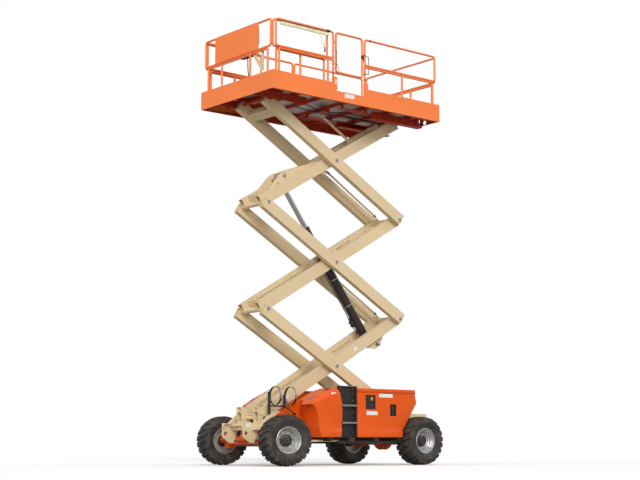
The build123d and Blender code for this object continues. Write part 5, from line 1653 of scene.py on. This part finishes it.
@dataclass
class Rails:
    """Folding guard rails, each a closed loop on a low frame of socketed posts."""

    floor: float = 6.4003
    top: float = 1.036
    middle: float = 0.570
    tube_r: float = 0.0188
    bar_r: float = 0.0165
    post_r: float = 0.0185
    bend: float = 0.110
    guards: tuple[Guard, ...] = (
        Guard(("left_front_rail",), "platform", (1.860, 1.0077), (0.600, 1.0077), 6.4006, (0.055, 0.905),
              long_end=True),
        Guard(("left_rear_rail",), "platform", (-0.130, 1.0077), (-1.8527, 1.0077), 6.4006, (0.52, 0.965),
              long_start=True),
        Guard(("right_rail",), "platform", (1.860, -1.0077), (-0.110, -1.0077), 6.4006, (0.035, 0.5, 0.965)),
        Guard((), "platform", (-0.155, -1.0077), (-1.8527, -1.0077), 6.4006, (0.035, 0.5, 0.965)),
        Guard(("rear_rail",), "platform", (-1.9127, 0.9477), (-1.9127, -0.9477), 6.4006, (0.04, 0.34, 0.66, 0.96)),
        Guard(("extension_front_rail",), "extension", (1.912, 0.940), (1.912, -0.940), 6.4146,
              (0.045, 0.305, 0.741, 0.955)),
        Guard(("extension_side_rails",), "extension", (1.872, 0.940), (0.682, 0.940), 6.4146, (0.06, 0.5, 0.94)),
        Guard((), "extension", (1.872, -0.940), (0.682, -0.940), 6.4146, (0.06, 0.5, 0.94)))
    gate: tuple[float, float, float] = (0.538, -0.068, 1.0077)
    gate_foot: float = 0.330

    def guard(self, rail: Guard) -> None:
        """Model one length of guard rail.

        Args:
            rail: where it runs.
        """
        a, b = Vector((*rail.start, 0)), Vector((*rail.end, 0))
        high, low = self.floor + self.top, self.floor + self.middle
        half = (a + b) / 2
        loop = [(half, low), (a, low), (a, high), (b, high), (b, low), (half, low)]
        parts = [bent_bar([(p.x, p.y, z) for p, z in loop], self.tube_r, self.bend)]
        sill = low - 2 * self.bar_r - 0.006
        ends = [a + (b - a) * (0.0 if rail.long_start else rail.posts[0]),
                a + (b - a) * (1.0 if rail.long_end else rail.posts[-1])]
        parts.append(drum((ends[0].x, ends[0].y, sill), (ends[1].x, ends[1].y, sill), self.bar_r, 0.001, 16))
        stands = [a + (b - a) * share for share in rail.posts]
        for post in stands:
            parts.append(drum((post.x, post.y, rail.foot), (post.x, post.y, sill), self.post_r, 0.001, 16))
        for whole, post in ((rail.long_start, a), (rail.long_end, b)):
            if whole:
                tip = (post.x, post.y, high - self.bend)
                parts.append(drum((post.x, post.y, rail.foot), tip, self.tube_r, 0.001, 16))
                stands.append(post)
        across = (b - a).normalized()
        for post in stands:
            parts.append(turned([(self.tube_r + 0.0002, 0.128), (0.0192, 0.130), (0.0192, 0.164),
                                 (self.tube_r, 0.168)], Matrix.Translation((post.x, post.y, self.floor)), 20))
        for share in (0.2, 0.8):
            at = a + (b - a) * share
            wide = (0.030, 0.012) if across.x else (0.012, 0.030)
            parts.append(block((at.x, at.y, (low + sill) / 2), (*wide, low - sill), 0.002))
        name = (rail.nodes or ("right_rear_guard",))[0] + "_bars"
        fit(parts, name, rail.body, Finish.ORANGE, 40, rail.nodes)

    def pins(self, rail: Guard, index: int) -> None:
        """Model the bright lock pins that hold the folding loop on its low frame.

        Args:
            rail: where it runs.
            index: its number.
        """
        a, b = Vector((*rail.start, 0)), Vector((*rail.end, 0))
        parts = []
        for share in (rail.posts[0], rail.posts[-1]):
            at = a + (b - a) * share
            z = self.floor + 0.148
            normal = Vector((0, 1, 0)) if abs((b - a).x) > 0.1 else Vector((1, 0, 0))
            out = normal * (1 if (at.y if normal.y else at.x) < 0 else -1)
            start = at + out * 0.018
            tip = at + out * 0.042
            parts.append(drum((start.x, start.y, z), (tip.x, tip.y, z), 0.007, 0.001, 12))
            parts.append(turned([(0.014, -0.003), (0.016, 0), (0.014, 0.003)], aim((tip.x, tip.y, z),
                                (tip.x + out.x, tip.y + out.y, z)), 18))
        fit(parts, f"rail_pins_{index}", rail.body, Finish.STEEL, 40)

    def entry(self) -> None:
        """Model the entry gate, its stops, its latch and the hand grips beside it."""
        front, rear, y = self.gate
        high, low = self.floor + self.top, self.floor + self.gate_foot
        half = (front + rear) / 2
        loop = [(half, low), (front, low), (front, high), (rear, high), (rear, low), (half, low)]
        bars = [bent_bar([(x, y, z) for x, z in loop], self.tube_r, self.bend)]
        for z in (0.480, 0.860):
            bars.append(block((front + 0.020, y, self.floor + z), (0.040, 0.014, 0.040), 0.003))
            bars.append(drum((front + 0.0395, y, self.floor + z - 0.024), (front + 0.0395, y, self.floor + z + 0.024),
                             0.010, 0.001, 16) if z < 0.5 else
                        block((front + 0.036, y, self.floor + z), (0.004, 0.020, 0.050), 0.001))
        latch = [block((rear - 0.026, y - 0.004, self.floor + 0.700), (0.020, 0.030, 0.120), 0.004),
                 block((rear + 0.010, y + 0.016, self.floor + 0.700), (0.050, 0.010, 0.060), 0.003)]
        grip = bent_bar([(x, y + 0.004, self.floor + z) for x, z in
                         ((-0.145, 0.734), (-0.220, 0.734), (-0.220, 0.415), (-0.145, 0.415))], 0.0065, 0.022)
        swing = bent_bar([(front + x, y + out, self.floor + z) for x, out, z in
                          ((0.014, 0.012, 0.716), (0.002, 0.0212, 0.700), (0.002, 0.0212, 0.420),
                           (0.014, 0.012, 0.397))], 0.006, 0.010)
        cuffs = [block((0.720, y, self.floor + 1.036), (0.090, 0.0384, 0.037), 0.008),
                 block((-0.250, y, self.floor + 1.036), (0.040, 0.0384, 0.037), 0.008)]
        for x, z in ((-0.130, 0.740), (-0.130, 0.408), (0.600, 0.300), (-0.130, 0.300)):
            r = self.tube_r
            cuffs.append(turned([(r + 0.0003, -0.010), (r + 0.004, -0.008), (r + 0.004, 0.008), (r + 0.0003, 0.010)],
                                Matrix.Translation((x, y, self.floor + z)), 20))
        strap = pipe([(front - x, y + out, self.floor + z) for x, out, z in
                      ((0.006, 0.0208, 0.480), (0.040, 0.018, 0.440), (0.046, 0.018, 0.360), (0.030, 0.018, 0.270),
                       (0.016, 0.018, 0.290), (0.002, 0.0205, 0.345))], 0.004, 3, 8)
        stops = []
        for x in (0.622, -0.092):
            outline = [(0.0, -0.012), (0.0, 0.240), (0.082, 0.240), (0.098, 0.224), (0.098, 0.020), (0.072, -0.012)]
            lock = plate([(x - a, z) for a, z in outline], 0.004, upright(1.0285, z=self.floor), 0.001)
            stops.append(carve(lock, block((x - 0.066, 1.03, self.floor + 0.150), (0.026, 0.05, 0.100), 0)))
            stops.append(block((x - 0.010, 1.0195, self.floor + 0.115), (0.012, 0.018, 0.24), 0.002))
        fit(bars, "gate_bars", "gate", Finish.ORANGE, 40, ["entry_gate"])
        fit(latch, "gate_latch", "gate", Finish.PLASTIC_BLACK, 40)
        fit([swing], "gate_grip", "gate", Finish.PLASTIC_BLACK)
        fit([strap], "gate_strap", "gate", Finish.PLASTIC_RED)
        fit([grip], "entry_grip", "platform", Finish.PLASTIC_BLACK)
        fit(cuffs, "post_cuffs", "platform", Finish.DARK, 40)
        fit(stops, "gate_stops", "platform", Finish.ORANGE)

    def build(self) -> None:
        """Model and dress every rail."""
        for index, rail in enumerate(self.guards):
            self.guard(rail)
            self.pins(rail, index)
        self.entry()


# --- platform fittings
@dataclass
class PlatformFittings:
    """Front board, control station, cable strip, deck plates, skirts' plates and underside."""

    floor: float = 6.4003
    board_x: float = 1.9313
    rail_x: float = 1.912

    def flat(self, x: float) -> Matrix:
        """Placing of an outline of (y, z) on a plane across the machine."""
        return Matrix(((0, 0, 1, x), (1, 0, 0, 0), (0, 1, 0, self.floor), (0, 0, 0, 1)))

    def board(self) -> None:
        """Model the front board with rounded upper corners, its rivets and its grips."""
        half, low, high, cut = 0.630, 0.575, 1.050, 0.070
        corners = [(-half, low), (half, low)]
        for step in range(7):
            angle = step * pi / 12
            corners.append((half - cut + cut * cos(angle), high - cut + cut * sin(angle)))
        corners += [(-y, z) for y, z in reversed(corners[2:])]
        sheet = plate(corners, 0.004, self.flat(self.board_x), 0.0012)
        rivets = []
        for y in (-0.45, -0.15, 0.15, 0.36, 0.48):
            for z in (0.68, 0.80, 0.93):
                rivets.append(turned([(0.006, 0.0), (0.005, 0.001), (0.001, 0.0016)],
                                     aim((self.board_x + 0.0034, y, self.floor + z), (9, y, self.floor + z)), 12))
        grips = [block((self.rail_x, -0.060, self.floor + 1.036), (0.0378, 0.220, 0.037), 0.012),
                 block((self.board_x + 0.001, half + 0.004, self.floor + 0.800), (0.004, 0.012, 0.300), 0.001)]
        fit([sheet], "front_sheet", "extension", Finish.ORANGE, stands_for=["front_board"])
        fit(rivets, "board_rivets", "extension", Finish.STEEL)
        fit(grips, "board_grips", "extension", Finish.PLASTIC_BLACK, 40)

    def station(self) -> None:
        """Model the control station that hangs inside the front rail."""
        back = 1.8922
        x, y, z = back - 0.095, 0.060, self.floor + 0.690
        case = block((x, y, z), (0.188, 0.318, 0.200), 0.010)
        lid = plate(((-0.094, 0.100), (0.094, 0.100), (0.094, 0.118), (-0.070, 0.118)), 0.318,
                    upright(y - 0.159, x, z), 0.003)
        bright, orange = [], []
        dark = [case, lid, turned([(0.030, 0), (0.026, 0.012), (0.014, 0.020), (0.012, 0.020)],
                                  Matrix.Translation((x - 0.030, y + 0.080, z + 0.100)), 24),
                drum((x - 0.030, y + 0.080, z + 0.112), (x - 0.030, y + 0.080, z + 0.119), 0.014, 0.004, 20)]
        for across in (-0.110, -0.060, -0.010):
            dark.append(drum((x - 0.040, y + across, z + 0.099), (x - 0.040, y + across, z + 0.115), 0.007,
                             sides=12))
        stop = turned([(0.012, 0.0), (0.012, 0.006), (0.020, 0.008), (0.020, 0.013), (0.012, 0.017)],
                      Matrix.Translation((x + 0.040, y - 0.100, z + 0.102)), 24)
        for across in (-0.090, 0.090):
            orange.append(block((back - 0.003, y + across, self.floor + 0.920), (0.006, 0.030, 0.230), 0.001))
            orange.append(block((back - 0.004, y + across, self.floor + 0.800), (0.008, 0.050, 0.030), 0.001))
        for across, up in ((-0.130, 0.060), (0.130, 0.060), (-0.130, -0.060), (0.130, -0.060)):
            bright.append(hexagon((x - 0.093, y + across, z + up), (x - 0.0950, y + across, z + up), 0.012))
        bright.append(drum((1.800, 0.150, self.floor + 0.560), (1.800, 0.150, self.floor + 0.5725), 0.020, 0.002, 20))
        dark.append(block((back - 0.096, y, z - 0.110), (0.190, 0.300, 0.018), 0.004))
        fit(dark, "station_case", "extension", Finish.PLASTIC_BLACK, 30, ["control_box"])
        fit(bright, "station_bolts", "extension", Finish.STEEL, 30)
        fit([stop], "station_stop", "extension", Finish.PLASTIC_RED, 40)
        fit(orange, "station_hangers", "extension", Finish.ORANGE)

    def bracket(self) -> None:
        """Model the open triangular bracket beside the control station."""
        x = 1.889
        outer = [(0.400, 0.585), (0.690, 0.585), (0.690, 0.200), (0.650, 0.200), (0.400, 0.530)]
        inner = [(0.470, 0.560), (0.660, 0.560), (0.660, 0.305)]
        web = plate(outer, 0.004, self.flat(x), 0.001)
        carve(web, plate(inner, 0.05, self.flat(x - 0.02), 0))
        lips = [block((x - 0.012, 0.545, self.floor + 0.583), (0.030, 0.290, 0.004), 0.001),
                block((x - 0.012, 0.688, self.floor + 0.392), (0.030, 0.004, 0.384), 0.001)]
        fit([web] + lips, "open_bracket", "extension", Finish.CREAM)

    def strip(self) -> None:
        """Model the segmented cable carrier under the near top rail, with its hanging arm."""
        y, top = 1.0077, self.floor + 1.0165
        links = []
        count = 12
        pitch = (1.755 - 0.705) / count
        for index in range(count):
            x = 0.705 + pitch * (index + 0.5)
            drop = 0.002 * (index % 2)
            links.append(block((x, y, top - 0.040 - drop), (pitch * 0.92, 0.022, 0.058), 0.004))
            links.append(block((x + pitch / 2, y, top - 0.034), (pitch * 0.12, 0.016, 0.040), 0.001))
        track = block((1.230, y, top - 0.006), (1.058, 0.025, 0.010), 0.001)
        arm = [pipe([(0.915, y, top - 0.066), (0.805, y, top - 0.245)], 0.0042, 2, 8),
               pipe([(0.750, y, top - 0.066), (0.790, y, top - 0.245)], 0.0042, 2, 8),
               block((0.797, y, top - 0.300), (0.020, 0.007, 0.130), 0.002)]
        grip = turned([(0.010, -0.090), (0.012, -0.080), (0.012, -0.010), (0.007, 0.0)],
                      Matrix.Translation((0.788, y, self.floor + 0.735)), 16)
        fit(links, "carrier_links", "platform", Finish.PLASTIC_CREAM, 30, ["cable_track"])
        fit([track, grip], "carrier_rail", "platform", Finish.PLASTIC_BLACK, 30)
        fit(arm, "carrier_arm", "platform", Finish.CREAM, 40)

    def deck(self) -> None:
        """Model the seams of the deck's sheets and the blank plates on the skirts."""
        fit([block((0.250, side * 1.0349, self.floor - 0.060), (0.220, 0.001, 0.070), 0.0002) for side in (1, -1)],
            "skirt_plates", "platform", Finish.WHITE)
        parts = []
        for y in (-0.68, -0.34, 0.0, 0.34, 0.68):
            parts.append(block((-0.640, y, self.floor + 0.0006), (2.520, 0.010, 0.0012), 0.0004))
        for x in (-1.4, -0.9, -0.4, 0.1, 0.55):
            parts.append(block((x, 0, self.floor + 0.0006), (0.010, 1.96, 0.0012), 0.0004))
        fit(parts, "deck_seams", "platform", Finish.TREAD)

    def underside(self) -> None:
        """Model what shows under the deck: gussets, bolts, a hose tray and hoses."""
        red, bright, hoses = [], [], []
        under = self.floor - 0.057
        for x in (-1.425, -0.875, -0.325, 0.225, 0.750):
            for y in (-0.77, 0.77):
                red.append(block((x, y, under + 0.030), (0.480, 0.040, 0.032), 0.002))
        red.append(block((0.0, 0.0, under - 0.052), (0.150, 0.200, 0.008), 0.002))
        for y in (-0.090, 0.090):
            red.append(plate(((-0.070, -0.056), (0.070, -0.056), (0.110, 0.0), (-0.110, 0.0)), 0.008,
                             upright(y - 0.004, z=under), 0.001))
        for side in (1, -1):
            for z, width, row in ((6.268, 0.020, (-1.75, -1.35, -0.95, 0.95, 1.25, 1.75)),
                                  (6.300, 0.018, (-1.55, -1.15, 1.10, 1.65))):
                bright += [hexagon((x, side * 0.500, z), (x, side * 0.508, z), width) for x in row]
            for route in (((-0.050, 0.060, 0.050), (-0.12, 0.08, 0.060), (-0.35, 0.11, 0.020), (-0.90, 0.13, 0.010),
                           (-1.50, 0.13, 0.010)),
                          ((0.050, 0.040, 0.050), (0.14, 0.07, 0.062), (0.30, 0.11, 0.030), (0.50, 0.13, 0.010))):
                hoses.append(pipe([(x, side * y, under - drop) for x, y, drop in route], 0.009, 3, 8))
        fit(red, "deck_stiffeners", "platform", Finish.RED)
        fit(bright, "track_bolts", "platform", Finish.STEEL, 30)
        fit(hoses, "deck_hoses", "platform", Finish.HOSE)

    def build(self) -> None:
        """Model and dress all of it."""
        self.board()
        self.station()
        self.bracket()
        self.strip()
        self.deck()
        self.underside()


# --- front end, rack, ladder, chassis
@dataclass
class FrontEnd:
    """Detail of the front bracket, the bottle rack, the ladder, the frame and the axles."""

    pivot_x: float = 1.530
    lug_y: float = 0.295
    hoop_y: float = 0.620
    hoop_z: float = 1.150
    hoop_r: float = 0.1549
    post_x: tuple[float, float] = (1.530, 1.210)
    post_y: float = 0.450
    ladder_x: float = 0.232
    ladder_face: float = 0.950
    steps: tuple[float, ...] = (0.712, 1.002)

    def clevis(self) -> None:
        """Model what ties the clevis plates: webs low in front and caps on top."""
        parts = []
        for side in (1, -1):
            low, high = 0.158, 0.308
            middle = side * (low + high) / 2
            parts.append(block((self.pivot_x + 0.090, middle, 0.9755), (0.032, high - low, 0.011), 0.002))
            parts.append(block((self.pivot_x + 0.088, middle, 0.677), (0.012, high - low + 0.002, 0.138), 0.002))
        fit(parts, "clevis_frames", "chassis", Finish.CREAM)

    def hardware(self) -> None:
        """Model pins, rings, bolts and blank plates of the front bracket."""
        steel, tan, white, dark = [], [], [], []
        for side in (1, -1):
            far = side * 0.309
            out = sideways((self.pivot_x, far - side * 0.001, 0.795), side)
            steel.append(turned([(0.031, 0), (0.031, 0.010), (0.026, 0.014), (0.010, 0.014)], out, 28))
            tan.append(block((self.pivot_x + 0.048, far + side * 0.004, 0.835), (0.090, 0.008, 0.030), 0.002))
            steel.append(hexagon((self.pivot_x + 0.074, far + side * 0.008, 0.835),
                                 (self.pivot_x + 0.074, far + side * 0.019, 0.835), 0.018))
            plate_y = side * self.lug_y
            white.append(block((1.844, plate_y + 0.0012 * side, 0.671), (0.100, 0.002, 0.058), 0.0006))
            white.append(block((1.668, plate_y + 0.0012 * side, 0.658), (0.090, 0.002, 0.066), 0.0006))
            for x, z in ((1.785, 0.560), (1.640, 0.665), (1.915, 0.690)):
                steel.append(hexagon((x, plate_y, z), (x, plate_y + side * 0.008, z), 0.014))
            loop = [(1.885 + 0.046 * cos(angle), plate_y - side * 0.008, 0.512 + 0.046 * sin(angle))
                    for angle in (index * pi / 6 for index in range(12))]
            steel.append(pipe(loop, 0.008, 3, 8, True))
            dark.append(drum((self.pivot_x, side * 0.198, 0.982), (self.pivot_x, side * 0.268, 0.982), 0.014, 0.003,
                             16))
            dark.append(block((self.pivot_x - 0.004, side * 0.233, 0.972), (0.036, 0.050, 0.016), 0.003))
        tan += [drum((1.800, -0.279, 0.668), (1.800, 0.279, 0.668), 0.022, 0.002, 20),
                block((1.655, 0, 0.716), (0.060, 0.190, 0.022), 0.003)]
        white += [block((1.7610, 0.0, 0.640), (0.002, 0.130, 0.050), 0.0006),
                  block((1.6006, -0.170, 0.470), (0.0016, 0.160, 0.060), 0.0004),
                  block((1.6006, 0.200, 0.470), (0.0016, 0.110, 0.060), 0.0004)]
        fit(steel, "bracket_pins", "chassis", Finish.STEEL, 30)
        fit(tan, "bracket_bars", "chassis", Finish.CREAM, 30)
        fit(white, "bracket_plates", "chassis", Finish.WHITE)
        fit(dark, "bracket_caps", "chassis", Finish.PLASTIC_BLACK, 30)

    def rack(self) -> None:
        """Model the hoops with their bright clamps, straps and posts."""
        dark, bright = [], []
        for x in self.post_x:
            middle = Matrix.Translation((x, self.hoop_y, self.hoop_z)) @ Matrix.Rotation(pi / 2, 4, "Y")
            r = self.hoop_r
            dark.append(ring([(r - 0.0048, -0.0195), (r, -0.0195), (r, 0.0195), (r - 0.0048, 0.0195)], middle, 72))
            for index in range(9):
                where = self.on_hoop(x, radians(-14 + index * 8.5), r + 0.0012)
                bright.append(block((0, 0, 0), (0.036, 0.0022, 0.024), 0.0003, where))
            where = self.on_hoop(x, radians(-8), r - 0.014)
            dark.append(block((0, 0, 0), (0.030, 0.014, 0.046), 0.003, where))
            bright.append(drum(where @ Vector((-0.019, -0.004, -0.012)), where @ Vector((0.019, -0.004, -0.012)),
                               0.005, 0.001, 12))
            for z in (self.hoop_z - 0.05, self.hoop_z + 0.05):
                near, far = self.post_y + 0.020, self.hoop_y - sqrt(r ** 2 - (z - self.hoop_z) ** 2)
                dark.append(block((x, (far + near) / 2, z), (0.030, far - near + 0.002, 0.022), 0.003))
        fit(dark, "bottle_hoops", "chassis", Finish.BLACK, 30)
        fit(bright, "hoop_clamps", "chassis", Finish.STEEL, 30)

    def on_hoop(self, x: float, angle: float, reach: float) -> Matrix:
        """Placing on a bottle hoop, +Y outward.

        Args:
            x: where the hoop stands.
            angle: how far round from its outer side.
            reach: how far from its middle.

        Returns:
            The placing.
        """
        y, z = self.hoop_y + reach * cos(angle), self.hoop_z + reach * sin(angle)
        return Matrix.Translation((x, y, z)) @ Matrix.Rotation(angle, 4, "X")

    def ladder(self) -> None:
        """Model the steps' tread, the side rails' bolts and the back plate's ribs."""
        x, face = self.ladder_x, self.ladder_face
        ribs, bright = [], []
        for z in self.steps:
            ribs.append(block((x, face + 0.047, z), (0.340, 0.006, 0.030), 0.002))
            for index in range(9):
                at = x - 0.144 + 0.036 * index
                ribs.append(turned([(0.0125, 0.0), (0.010, 0.004), (0.006, 0.004)],
                                   Matrix.Translation((at, face + 0.010, z + 0.0125)), 12))
        for side in (-1, 1):
            for z in (0.560, 0.800, 0.900, 1.090, 1.200, 1.290):
                bright.append(turned([(0.009, 0), (0.008, 0.003), (0.002, 0.0045)],
                                     sideways((x + side * 0.140, 0.9105, z), 1), 12))
        ribs.append(block((x, 0.930, 1.328), (0.356, 0.060, 0.012), 0.003))
        fit(ribs, "step_treads", "chassis", Finish.STEP, 30)
        fit(bright, "ladder_bolts", "chassis", Finish.STEEL)

    def chassis(self) -> None:
        """Model the sills' beams, the valve tray, and the frame's bolts and hoses."""
        tan, steel, hoses = [], [], []
        for side in (1, -1):
            tan.append(block((0.640, side * 0.800, 0.4125), (0.620, 0.050, 0.034), 0.003))
            for x in (-0.90, -0.35, 0.232, 0.65):
                steel.append(hexagon((x, side * 0.930, 0.4118), (x, side * 0.930, 0.4218), 0.020))
            for route in (((1.250, 0.425, 0.640), (1.380, 0.405, 0.560), (1.480, 0.360, 0.500), (1.560, 0.290, 0.490),
                           (1.625, 0.150, 0.478), (1.645, 0.120, 0.470)),
                          ((1.250, 0.4205, 0.760), (0.90, 0.415, 0.700), (0.30, 0.415, 0.680), (-0.60, 0.415, 0.690),
                           (-1.10, 0.415, 0.700), (-1.30, 0.300, 0.640), (-1.40, 0.100, 0.600))):
                hoses.append(pipe([(x, side * y, z) for x, y, z in route], 0.009, 3, 8))
        dark = [block((-0.30, 0.0, 0.485), (0.560, 0.500, 0.040), 0.006),
                block((0.640, 0.0, 0.480), (0.260, 0.300, 0.060), 0.006)]
        for index in range(6):
            x = 0.560 + 0.032 * index
            steel.append(drum((x, 0.0, 0.510), (x, 0.0, 0.548), 0.011, 0.001, 16))
        fit(tan, "sill_beams", "chassis", Finish.CREAM)
        fit(dark, "valve_tray", "chassis", Finish.DARK, 30)
        fit(steel, "chassis_bolts", "chassis", Finish.STEEL, 30)
        fit(hoses, "frame_hoses", "chassis", Finish.HOSE)

    def axles(self) -> None:
        """Model bolts, gland rings and pins of the axles."""
        front, bright, rear = [], [], []
        for side in (1, -1):
            for z in (0.545, 0.293):
                up = 1 if z > 0.419 else -1
                bright.append(turned([(0.034, 0), (0.034, 0.004), (0.024, 0.007), (0.008, 0.007)],
                                     aim((1.530, side * 0.690, z - 0.001 * up), (1.530, side * 0.690, z + up)), 20))
            bright.append(ring([(0.0381, -0.020), (0.042, -0.018), (0.042, -0.002), (0.0195, -0.0005),
                                (0.0195, 0.0005), (0.0382, -0.0005)],
                               sideways((1.640, side * 0.231, 0.439), side), 28))
            for x in (1.475, 1.585):
                front.append(hexagon((x, side * 0.150, 0.494), (x, side * 0.150, 0.505), 0.020))
            rear += [turned([(0.090, 0.0), (0.096, 0.004), (0.096, 0.024), (0.071, 0.028)],
                            sideways((-1.420, side * 0.500, 0.419), side), 32),
                     turned([(0.150, -0.012), (0.158, -0.008), (0.158, 0.008), (0.150, 0.012)],
                            sideways((-1.420, side * 0.060, 0.419), side), 40)]
        fit(bright, "kingpin_caps", "chassis", Finish.STEEL, 30)
        fit(front, "axle_bolts", "chassis", Finish.STEEL)
        fit(rear, "drive_flanges", "chassis", Finish.HOOD, 30)

    def engine(self) -> None:
        """Model the engine's head, its air cleaner, belts and pipes on its block."""
        top = 1.090
        dark = [block((-0.560, 0.715, 0.780), (0.756, 0.356, 0.612), 0.020),
                drum((-0.78, 0.66, top + 0.080), (-0.42, 0.66, top + 0.080), 0.075, 0.010, 32),
                block((-0.560, 0.810, top + 0.030), (0.560, 0.120, 0.060), 0.010)]
        hoses = []
        for index in range(4):
            x = -0.740 + 0.115 * index
            dark.append(drum((x, 0.810, top + 0.055), (x, 0.810, top + 0.090), 0.022, 0.003, 16))
            hoses.append(pipe([(x, 0.810, top + 0.085), (x, 0.830, top + 0.105), (x + 0.02, 0.780, top + 0.110),
                               (x + 0.03, 0.730, top + 0.060)], 0.007, 3, 8))
        bright = [drum((-0.175, 0.66, 0.960), (-0.150, 0.66, 0.960), 0.070, 0.003, 28),
                  drum((-0.175, 0.78, 0.860), (-0.155, 0.78, 0.860), 0.050, 0.003, 28)]
        hoses.append(pipe([(-0.42, 0.66, top + 0.080), (-0.34, 0.66, top + 0.090), (-0.26, 0.70, top + 0.050),
                           (-0.22, 0.76, top - 0.040)], 0.024, 3, 12))
        fit(dark, "engine", "chassis", Finish.CYLINDER, 30, ["engine_block"])
        fit(bright, "pulleys", "chassis", Finish.STEEL, 30)
        fit(hoses, "engine_pipes", "chassis", Finish.HOSE)

    def build(self) -> None:
        """Model and dress all of it."""
        for make in (self.clevis, self.hardware, self.rack, self.ladder, self.chassis, self.axles, self.engine):
            make()


# --- dressing of the frame's nodes
@dataclass
class FrameDressing:
    """Finish of every node of the frame that shows as it is."""

    finishes: tuple[tuple[Finish, tuple[str, ...]], ...] = (
        (Finish.CREAM, ("inner_", "outer_", "chassis_frame", "front_bracket", "hose_link")),
        (Finish.ORANGE, ("platform_skirts", "extension_")),
        (Finish.HOOD, ("front_axle", "rear_axle", "knuckle_", "side_panels")),
        (Finish.RED, ("platform_frame",)),
        (Finish.TREAD, ("platform_floor",)),
        (Finish.BLACK, ("side_sills", "ladder", "bottle_rack")),
        (Finish.CYLINDER, ("cylinder_barrel", "cylinder_stage")),
        (Finish.CHROME, ("cylinder_rod", "steering_rod")),
        (Finish.STEEL, ("tie_rod",)),
    )

    def build(self) -> None:
        """Dress the nodes."""
        for finish, starts in self.finishes:
            for node in sorted(frame["nodes"]):
                if node.startswith(starts):
                    dress(node, finish)
        for node in ("platform_skirts", "extension_deck"):
            self.line_inside(frame["nodes"][node])
        sheet = frame["nodes"]["extension_deck"]
        sheet.data.materials.append(Finish.TREAD.material)
        for face in sheet.data.polygons:
            if abs(face.normal.z) > 0.9 and 6.405 < face.center.z < 6.43:
                face.material_index = 2

    def line_inside(self, piece: Piece) -> None:
        """Give a skirt's faces under the deck that look inward the red finish.

        Args:
            piece: the CAD node.
        """
        piece.data.materials.append(Finish.RED.material)
        for face in piece.data.polygons:
            at = face.center
            inward = at.x * face.normal.x + at.y * face.normal.y < -0.5
            if at.z < 6.39 and (inward or abs(face.normal.z) > 0.9):
                face.material_index = 1


# --- studio
@dataclass
class Studio:
    """Floor, light and camera."""

    eye: Point = (15.739, 18.8135, 0.334)
    heading: Point = (0.056, 0.0, 0.334)
    pitch: float = 8.406
    lens: float = 78.27
    sensor: float = 36.0

    def floor(self) -> None:
        """Lay a pale floor that keeps shadows and shows white behind the machine."""
        clear()
        bpy.ops.mesh.primitive_plane_add(size=160, location=(0, 0, -0.0005))
        plane = bpy.context.object
        plane.name = "floor"
        nodes = Nodes("floor_paper")
        path = nodes.add("LightPath")
        nodes.put(Base_Color=nodes.blend(path.outputs["Is Camera Ray"], (0.42, 0.40, 0.38), (1.0, 1.0, 1.0)),
                  Emission_Color=(1.0, 1.0, 1.0, 1.0), Roughness=0.9, Specular_IOR_Level=0.0)
        lift = nodes.add("Math")
        lift.operation = "MULTIPLY"
        lift.inputs[1].default_value = 0.13
        nodes.link(path.outputs["Is Camera Ray"], lift.inputs[0])
        nodes.put(Emission_Strength=lift.outputs[0])
        plane.data.materials.append(nodes.material)

    def world(self) -> None:
        """Light the scene evenly and show white to the camera."""
        world = bpy.data.worlds.new("studio")
        bpy.context.scene.world = world
        world.use_nodes = True
        tree = world.node_tree
        soft, white = tree.nodes["Background"], tree.nodes.new("ShaderNodeBackground")
        for sky, strength in ((soft, 0.45), (white, 1.0)):
            sky.inputs["Color"].default_value = (1, 1, 1, 1)
            sky.inputs["Strength"].default_value = strength
        path = tree.nodes.new("ShaderNodeLightPath")
        mix = tree.nodes.new("ShaderNodeMixShader")
        tree.links.new(path.outputs["Is Camera Ray"], mix.inputs["Fac"])
        tree.links.new(soft.outputs["Background"], mix.inputs[1])
        tree.links.new(white.outputs["Background"], mix.inputs[2])
        tree.links.new(mix.outputs["Shader"], tree.nodes["World Output"].inputs["Surface"])

    def sun(self, name: str, toward: Point, strength: float, spread: float) -> None:
        """Hang one broad soft lamp, far enough off to light the whole height alike.

        Args:
            name: what the lamp is called.
            toward: direction from the machine to the lamp.
            strength: light on a surface square to it.
            spread: its width in the sky, in degrees.
        """
        clear()
        bpy.ops.object.light_add(type="SUN", location=Vector(toward).normalized() * 20)
        lamp = bpy.context.object
        lamp.name = name
        lamp.data.energy = strength
        lamp.data.angle = radians(spread)
        lamp.rotation_euler = (-Vector(toward)).to_track_quat("-Z", "Y").to_euler()

    def camera(self) -> None:
        """Set up the camera."""
        clear()
        bpy.ops.object.camera_add(location=self.eye)
        camera = bpy.context.object
        camera.name = "camera"
        ahead = Vector(self.heading) - Vector(self.eye)
        camera.rotation_euler = (radians(90 + self.pitch), 0, atan2(ahead.y, ahead.x) - pi / 2)
        camera.data.lens = self.lens
        camera.data.sensor_width = self.sensor
        camera.data.clip_end = 500
        bpy.context.scene.camera = camera

    def build(self) -> None:
        """Set up the whole studio."""
        self.camera()
        self.floor()
        self.world()
        self.sun("key", (7, 12, 7), 1.5, 20)
        self.sun("low", (9, 12, 2.2), 0.9, 30)
        self.sun("fill", (12, -3, 6), 0.7, 40)
        self.sun("back", (-9, 3, 6), 0.4, 40)
        bpy.context.scene.view_settings.view_transform = "Standard"


def main() -> None:
    """Build the whole model in order."""
    logging.basicConfig(level=logging.INFO, format="%(name)s: %(message)s")
    Studio().build()
    Cords().build()
    FrameDressing().build()
    for maker in MAKERS:
        LOG.info("making %s", maker.__name__)
        maker().build()


MAKERS: tuple[type, ...] = (Wheels, Bodywork, ArmHardware, LiftCylinder, Rails, PlatformFittings, FrontEnd)

if __name__ == "__main__":
    main()
